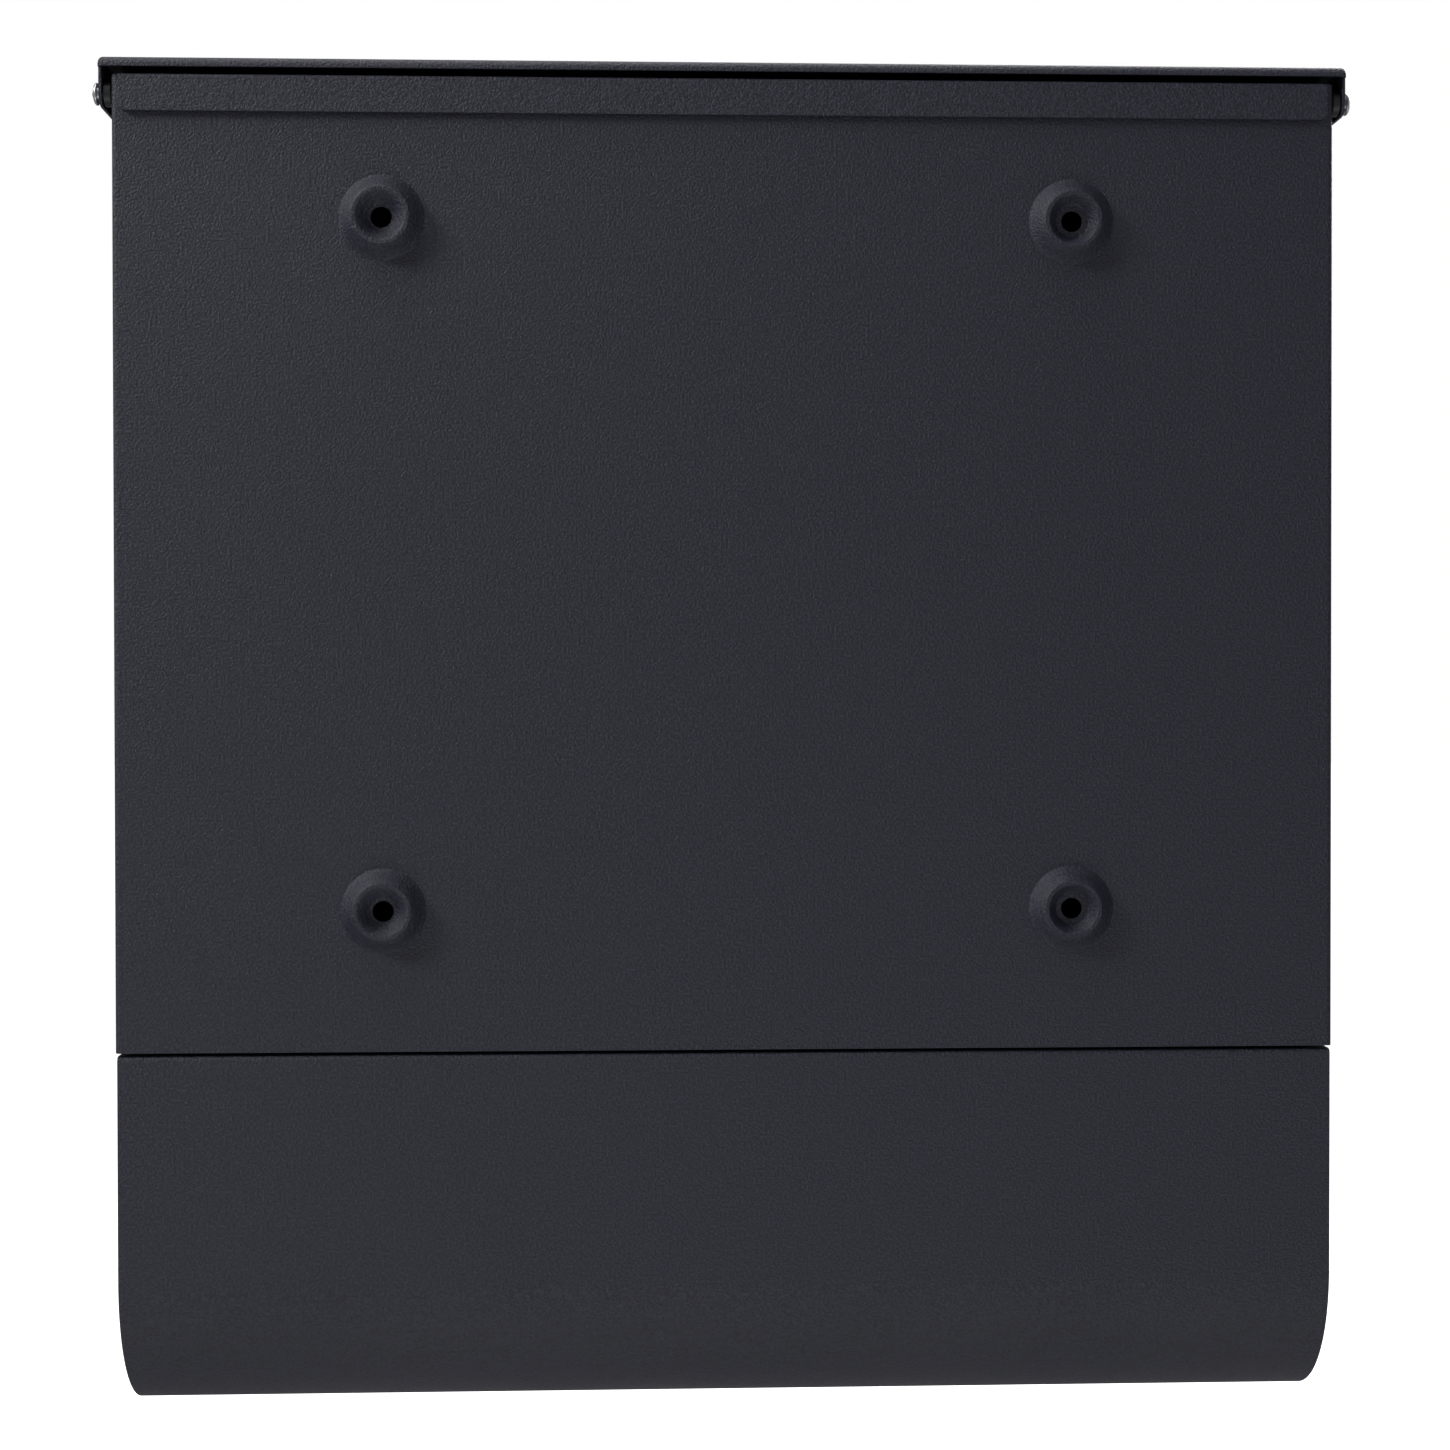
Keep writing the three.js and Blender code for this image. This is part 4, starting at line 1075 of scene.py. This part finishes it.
# ----------------------------------------------------------------------------------------------------------
# Lid
# ----------------------------------------------------------------------------------------------------------


@dataclass
class Lid(SheetMetal):
    """The folded lid, and the rivets, spacers and buffers that it works on."""

    sheet: float = 0.9
    front_round: float = 3.0  # outer radii
    rear_round: float = 2.4
    side_round: float = 1.5
    rear_lip: float = 3.0
    front_hem: float = 6.0
    hem: float = 1.1
    ear: float = 3.95
    bore: float = 2.2
    rivet_radius: float = 1.95

    def build(self) -> None:
        """Builds the lid and its fittings."""
        self.body()
        for side, sign in (("left", -1), ("right", 1)):
            self.rivet(side, sign)
            self.spacer(side, sign)
            self.buffer(side)

    def form(self, inset: float, bottom: float) -> Bench:
        """Makes the lid's outer form, or the hollow in it that is set in by the sheet.

        Args:
            inset: how far it is set in.
            bottom: where it ends below.

        Returns:
            The bench that holds it.
        """
        box = Extent.of("lid")
        side, top = box.high.x - inset, box.high.z - inset
        front, rear = box.low.y + inset, box.high.y - inset
        bench = block("lid_form", (-side, front, bottom), (side, rear, top))
        bench.pick(Kind.EDGES, at(y=front, z=top)).bevel(self.front_round - inset, self.fold_steps)
        bench.pick(Kind.EDGES, at(y=rear, z=top)).bevel(self.rear_round - inset, self.fold_steps)
        outline = lambda edge: any(at(x=x)(edge) for x in (-side, side)) and not at(z=bottom)(edge)
        bench.pick(Kind.EDGES, outline).bevel(self.side_round - inset, self.fold_steps)
        return bench

    def body(self) -> bpy.types.Object:
        """Presses the lid from one sheet with closed corners, a front hem and an ear at each side's rear end."""
        box = Extent.of("lid")
        pivot = Extent.of("lid_rivet_right").middle
        side, bottom, front = box.high.x, box.low.z, box.low.y
        lip, ear_rear = box.high.z - self.rear_lip, pivot.y + self.ear
        far, below = side + 5, bottom - 5
        hem_side, hem_line = side - self.side_round - 0.1, bottom + self.half
        hem_top = hem_line + self.front_hem / 2

        bench = self.form(0.0, bottom).carve(self.form(self.sheet, below))
        bench.cut_box((-far, ear_rear, below), (far, box.high.y + 5, lip))
        round_off = block("ear_cutter", (-far, pivot.y, below), (far, ear_rear + 5, bottom + self.ear))
        ear_centre = Vector((0, pivot.y, bottom + self.ear))
        round_off.drill(Axis.X, ear_centre, self.ear, far * 3)
        bench.carve(round_off)
        bench.cut_box((-hem_side, front - 5, below), (hem_side, front + self.sheet + 1, hem_top))
        middle = front + self.half
        corners = [
            (middle, hem_top),
            (middle, hem_line, self.hem_fold),
            (middle + self.hem, hem_line, self.hem_fold),
            (middle + self.hem, hem_line + self.front_hem),
        ]
        hem = folded("lid_hem", Axis.X, (0.4 - hem_side, hem_side - 0.4), corners).thicken(self.sheet)
        bench.carve(hem, "UNION")
        for x in (-side, side):
            bench.drill(Axis.X, Vector((x, pivot.y, pivot.z)), self.bore)
        return bench.soften(self.edge).finish("lid", ANTHRACITE, "lid")

    def rivet(self, side: str, sign: int) -> bpy.types.Object:
        """Turns a blind rivet: its set tail, its shank, and a domed head with the mandrel's end in it."""
        name = f"lid_rivet_{side}"
        box = Extent.of(name)
        pivot = box.middle
        tail, head = 172.6, Extent.of("lid").high.x + 0.8
        outline = [
            (1.0, tail),
            (1.5, tail + 0.1),
            (self.rivet_radius, tail + 0.5),
            (2.7, tail + 1.2),
            (2.8, tail + 1.6),
            (2.8, tail + 2.9),
            (2.6, tail + 3.15),
            (self.rivet_radius, tail + 3.2),
            (self.rivet_radius, head),
            (3.0, head),
            (3.2, head + 0.15),
            (3.2, head + 0.35),
        ]
        for i in range(1, 9):
            angle = math.pi / 2 * i / 9
            outline.append((1.15 + 2.05 * math.cos(angle), head + 0.35 + 0.9 * math.sin(angle)))
        outline += [(1.15, head + 1.25), (1.05, head + 1.2), (1.0, head + 0.95), (0.82, head + 0.95)]
        outline += [(0.8, head + 1.5), (0.7, head + 1.6)]
        reach = [(radius, sign * place) for radius, place in outline]
        bench = turned(f"blind_rivet_{side}", Axis.X, Vector((0, pivot.y, pivot.z)), reach, 48)
        return bench.finish("cabinet", RIVET_METAL, name)

    def spacer(self, side: str, sign: int) -> bpy.types.Object:
        """Turns the nylon ring between the cabinet and the lid's ear."""
        name = f"lid_spacer_{side}"
        box = Extent.of(name)
        near, far = sorted((abs(box.low.x), abs(box.high.x)))
        bore, outer = self.bore, (box.high.z - box.low.z) / 2
        ring = [(bore, near), (outer - 0.2, near), (outer, near + 0.2), (outer, far - 0.2), (outer - 0.2, far)]
        ring += [(bore, far), (bore, near)]
        reach = [(radius, sign * place) for radius, place in ring]
        bench = turned(f"nylon_ring_{side}", Axis.X, Vector((0, box.middle.y, box.middle.z)), reach, 40)
        return bench.finish("cabinet", NYLON, name)

    def buffer(self, side: str) -> bpy.types.Object:
        """Moulds the rubber dome that the lid closes on."""
        name = f"lid_buffer_{side}"
        box = Extent.of(name)
        centre = Vector((box.middle.x, box.middle.y, box.low.z))
        radius, height = (box.high.x - box.low.x) / 2, box.high.z - box.low.z
        wall = height * 0.35
        outline = [(radius - 0.15, 0.0), (radius, 0.15), (radius, wall)]
        for i in range(1, 12):
            angle = math.pi / 2 * i / 12
            outline.append((radius * math.cos(angle), wall + (height - wall) * math.sin(angle)))
        outline.append((radius * 0.04, height))
        return turned(f"rubber_dome_{side}", Axis.Z, centre, outline, 40).finish("cabinet", RUBBER, name)


# ----------------------------------------------------------------------------------------------------------
# Door
# ----------------------------------------------------------------------------------------------------------


@dataclass
class Door(SheetMetal):
    """The folded door with its pins, its name plate and its lock's body."""

    returns: float = 10.0
    corner: float = 1.8  # notch at each corner, where the returns meet
    window: tuple[float, float] = (75.0, 25.0)
    window_height: float = 70.0
    window_round: float = 2.0
    lap: float = 3.0
    barrel: float = 8.0
    bezel: float = 9.5
    bezel_height: float = 1.7
    pin_radius: float = 2.0

    def build(self) -> None:
        """Builds every piece that moves with the door."""
        self.body()
        self.pin("door_pin_top", 1)
        self.pin("door_pin_bottom", -1)
        self.holder()
        self.leaf("name_window", ACRYLIC, 0.12)
        self.leaf("name_card", CARD, 0.04)
        self.lock_body()
        nut = hexagon_nut("lock_nut", Axis.Y, self.barrel + 0.15)
        nut.finish("door", ZINC_PLATE, "lock_nut")

    def body(self) -> bpy.types.Object:
        """Folds the door, and cuts its name window and its holes for the lock and pins."""
        box = Extent.of("door")
        lock, pin = Extent.of("lock_barrel").middle, Extent.of("door_pin_top").middle
        face = box.low.y + self.half
        side, low, high = box.high.x - self.half, box.low.z + self.half, box.high.z - self.half
        inner = (box.high.x - self.corner, box.low.z + self.corner, box.high.z - self.corner)
        whole = lambda each: True

        bench = panel("door_sheet", Axis.Y, face, (-side, side), (low, high))
        for axis, place in ((Axis.X, -inner[0]), (Axis.X, inner[0]), (Axis.Z, inner[1]), (Axis.Z, inner[2])):
            bench.slice(axis, place, whole)
        middle = at(z=(inner[1], inner[2]))
        bench.drop(lambda each: abs(each.calc_center_median().x) > inner[0] and not middle(each))
        for where in ({"z": high}, {"z": low}, {"x": side}, {"x": -side}):
            bench.pick(Kind.EDGES, at(**where)).extrude((0, self.returns - self.half, 0))
            bench.pick(Kind.EDGES, at(**where, y=face)).bevel(self.fold, self.fold_steps)
        bench.thicken(self.sheet)

        x, z = self.window[0] / 2, self.window[1] / 2
        cutter = block(
            "cutter", (-x, face - 2, self.window_height - z), (x, face + 2, self.window_height + z)
        )
        cutter.pick(Kind.EDGES, lambda each: abs(each.verts[0].co.y - each.verts[1].co.y) > 1)
        cutter.bevel(self.window_round, 8)
        bench.carve(cutter)
        bench.drill(Axis.Y, Vector((lock.x, face, lock.z)), self.barrel + 0.15)
        for level in (low, high):
            bench.drill(Axis.Z, Vector((pin.x, pin.y, level)), self.pin_radius + 0.15)
        return bench.soften(self.edge).finish("door", ANTHRACITE, "door")

    def pin(self, name: str, sign: int) -> bpy.types.Object:
        """Turns one collared door pin, its free end away from the door."""
        box = Extent.of(name)
        start = box.low.z if sign > 0 else box.high.z
        centre = Vector((box.middle.x, box.middle.y, start))
        tail = 2.7
        outline = [(tail - 0.5, 0.0), (tail - 0.15, 0.15), (tail, 0.5), (tail, 2.5), (self.pin_radius, 2.5)]
        outline += [(self.pin_radius, 4.1), (3.8, 4.1), (4.0, 4.3), (4.0, 4.9), (3.8, 5.1), (self.pin_radius, 5.1)]
        outline += [(self.pin_radius, 9.4), (self.pin_radius - 0.15, 9.7), (self.pin_radius - 0.5, 9.9)]
        reach = [(radius, sign * place) for radius, place in outline]
        return turned(name + "_turned", Axis.Z, centre, reach, 40).finish("door", ZINC_PLATE, name)

    def holder(self) -> bpy.types.Object:
        """Presses the tray that holds the name card behind the window."""
        box = Extent.of("name_holder")
        bench = block("name_tray", box.low, box.high)
        bench.pick(Kind.EDGES, lambda edge: abs(edge.verts[0].co.y - edge.verts[1].co.y) > 1).bevel(1.2, 5)
        inner = Vector((1.0, 1.0, 1.0))
        low, high = box.low + inner, box.high - inner
        bench.cut_box((low.x, box.low.y - 1, low.z), (high.x, high.y, high.z))
        return bench.soften(0.2, 3).finish("door", ANTHRACITE, "name_holder")

    def leaf(self, name: str, finish: "Finish", edge: float) -> bpy.types.Object:
        """Cuts a flat leaf of the name plate."""
        box = Extent.of(name)
        bench = block(name + "_leaf", box.low, box.high)
        bench.pick(Kind.EDGES, lambda each: abs(each.verts[0].co.y - each.verts[1].co.y) > 0.1).bevel(1.0, 5)
        return bench.soften(edge, 2).finish("door", finish, name)

    def lock_body(self) -> bpy.types.Object:
        """Turns the lock's barrel: a rounded bezel, and a threaded body with a bore for the plug."""
        box = Extent.of("lock_barrel")
        centre = Vector((box.middle.x, box.low.y, box.middle.z))
        bore, length = 6.2, box.high.y - box.low.y
        ring = [(bore, 0.15), (bore + 0.15, 0.0), (self.bezel - 0.9, 0.0), (self.bezel - 0.35, 0.16)]
        ring += [(self.bezel - 0.08, 0.5), (self.bezel, 0.9), (self.bezel, self.bezel_height)]
        thread = threaded(self.barrel, self.bezel_height, length, 1.0, 0.35)
        ring += [*thread, (bore, length), (bore, 0.15)]
        bench = turned("lock_barrel_turned", Axis.Y, centre, ring, 64)
        return bench.finish("door", CHROME_PLATE, "lock_barrel")


@dataclass
class Lock:
    """What turns with the key: the plug, the cam and its screw."""

    plug_radius: float = 5.95
    square: float = 7.0
    key: tuple[float, float, float] = (1.4, 7.0, 9.0)  # width, height and depth of the keyway
    cam_width: float = 16.0

    def build(self) -> None:
        """Builds every piece that turns with the key."""
        self.plug()
        self.cam()
        self.screw()

    def plug(self) -> bpy.types.Object:
        """Turns the plug, with its keyway and the square that drives the cam."""
        box = Extent.of("lock_plug")
        x, z = box.middle.x, box.middle.z
        shoulder = Extent.of("lock_barrel").high.y + 0.3
        radius, stub = self.plug_radius, self.square / 2
        length = shoulder - box.low.y
        outline = [(radius - 0.25, 0.0), (radius - 0.07, 0.07), (radius, 0.25), (radius, length)]
        bench = turned("lock_plug_turned", Axis.Y, Vector((x, box.low.y, z)), outline, 48)
        bench.carve(block("square", (x - stub, shoulder - 2, z - stub), (x + stub, box.high.y, z + stub)), "UNION")
        width, height, depth = self.key
        bench.cut_box((x - width / 2, box.low.y - 1, z - height / 2), (x + width / 2, box.low.y + depth, z + height / 2))
        bench.drill(Axis.Y, Vector((x, box.high.y, z)), 2.1, 16.0)
        return bench.soften(0.1, 2).finish("lock", CHROME_PLATE, "lock_plug")

    def cam(self) -> bpy.types.Object:
        """Stamps the cam: a plate with round ends and a square hole."""
        box = Extent.of("lock_cam")
        lock = Extent.of("lock_plug").middle
        stub = self.square / 2 + 0.15
        bench = block("lock_cam_plate", box.low, box.high)
        through = lambda edge: abs(edge.verts[0].co.y - edge.verts[1].co.y) > 1
        bench.pick(Kind.EDGES, through).bevel(self.cam_width / 2 - NEAR, 14)
        bench.cut_box((lock.x - stub, box.low.y - 1, lock.z - stub), (lock.x + stub, box.high.y + 1, lock.z + stub))
        return bench.soften(0.2, 3).finish("lock", ZINC_PLATE, "lock_cam")

    def screw(self) -> bpy.types.Object:
        """Turns the screw that holds the cam."""
        box = Extent.of("cam_screw")
        centre = Vector((box.middle.x, box.low.y, box.middle.z))
        height, head = box.high.y - box.low.y, (box.high.x - box.low.x) / 2
        outline = threaded(1.95, 0.0, height - 2.5, 0.7, 0.3) + pan_head(head, height - 2.5, height)
        bench = turned("cam_screw_turned", Axis.Y, centre, outline, 40)
        recess(bench, Axis.Y, centre + Vector((0, height, 0)), 2.4, 0.55, 1.3)
        return bench.soften(0.06, 2, 55.0).finish("lock", ZINC_PLATE, "cam_screw")


# ----------------------------------------------------------------------------------------------------------
# Studio
# ----------------------------------------------------------------------------------------------------------


@dataclass
class Softbox:
    """A square lamp that faces a point."""

    name: str
    place: Point
    aim: Point
    size: tuple[float, float]
    power: float
    colour: str = "#ffffff"

    def build(self) -> bpy.types.Object:
        """Sets up the lamp."""
        open_mode("OBJECT")
        bpy.ops.object.select_all(action="DESELECT")
        bpy.ops.object.light_add(type="AREA", location=self.place)
        lamp = bpy.context.object
        lamp.name = self.name
        lamp.data.shape = "RECTANGLE"
        lamp.data.size, lamp.data.size_y = self.size
        lamp.data.energy = self.power
        lamp.data.color = linear(self.colour)[:3]
        lamp.rotation_euler = (Vector(self.aim) - Vector(self.place)).to_track_quat("-Z", "Y").to_euler()
        lamp.visible_camera = False
        return lamp


@dataclass
class Studio:
    """The pale floor, the soft light and the camera."""

    floor_level: float = -0.62
    floor_size: float = 40.0
    camera_place: Point = (0.0284, 0.6922, -0.0382)
    camera_forward: Point = (-0.0391, -0.9992, -0.0117)
    camera_roll: float = -0.075  # degrees
    lens: float = 59.6
    sensor: float = 36.0
    room_light: float = 0.24
    lamps: list[Softbox] = field(
        default_factory=lambda: [
            Softbox("key_softbox", (2.2, 0.85, 1.5), (0.05, 0.0, 0.05), (0.6, 0.6), 42.0),
            Softbox("overhead_softbox", (0.1, -0.1, 1.2), (0.0, -0.02, 0.1), (1.6, 0.5), 10.0),
            Softbox("floor_bounce", (0.1, 1.1, -1.5), (0.0, 0.0, -0.2), (2.4, 0.8), 11.0),
            Softbox("front_softbox", (-1.0, -1.3, 1.0), (0.0, 0.0, 0.0), (1.2, 1.2), 36.0),
        ]
    )

    def build(self) -> None:
        """Sets up the whole studio."""
        self.floor()
        self.world()
        self.camera()
        for lamp in self.lamps:
            lamp.build()

    def floor(self) -> None:
        """Lays the floor, which shows white and throws little light up at the object."""
        open_mode("OBJECT")
        bpy.ops.object.select_all(action="DESELECT")
        bpy.ops.mesh.primitive_plane_add(size=self.floor_size, location=(0, 0, self.floor_level))
        floor = bpy.context.object
        floor.name = "studio_floor"
        material = bpy.data.materials.new("white_vinyl_floor")
        material.use_nodes = True
        shader = material.node_tree.nodes["Principled BSDF"]
        shader.inputs["Base Color"].default_value = linear("#f4f4f4")
        shader.inputs["Roughness"].default_value = 0.6
        shader.inputs["Emission Color"].default_value = linear("#ffffff")
        shader.inputs["Emission Strength"].default_value = 0.9
        floor.data.materials.append(material)
        floor.visible_diffuse = floor.visible_glossy = floor.visible_shadow = False

    def world(self) -> None:
        """Makes the room: white where it is seen, dim where it lights the object."""
        world = bpy.data.worlds.new("studio_room")
        bpy.context.scene.world = world
        world.use_nodes = True
        tree = world.node_tree
        sky = tree.nodes["Background"]
        seen = node(tree, "LightPath").outputs["Is Camera Ray"]
        strength = node(tree, "MapRange", {"Value": seen, "To Min": self.room_light, "To Max": 1.0})
        sky.inputs["Color"].default_value = linear("#ffffff")
        tree.links.new(strength.outputs["Result"], sky.inputs["Strength"])
        bpy.context.scene.view_settings.view_transform = "Standard"

    def camera(self) -> None:
        """Sets up the camera."""
        bpy.ops.object.camera_add(location=self.camera_place)
        camera = bpy.context.object
        camera.name = "studio_camera"
        turn = Vector(self.camera_forward).to_track_quat("-Z", "Y")
        roll = Quaternion((0.0, 0.0, 1.0), math.radians(self.camera_roll))
        camera.rotation_euler = (turn @ roll).to_euler()
        camera.data.lens = self.lens
        camera.data.sensor_width = self.sensor
        bpy.context.scene.camera = camera


def main() -> None:
    """Builds the mailbox, then the studio round it."""
    logging.basicConfig(level=logging.INFO, format="%(name)s: %(message)s")
    Cabinet().build()
    NewspaperRoll().build()
    Lid().build()
    Door().build()
    Lock().build()
    Studio().build()


if __name__ == "__main__":
    main()
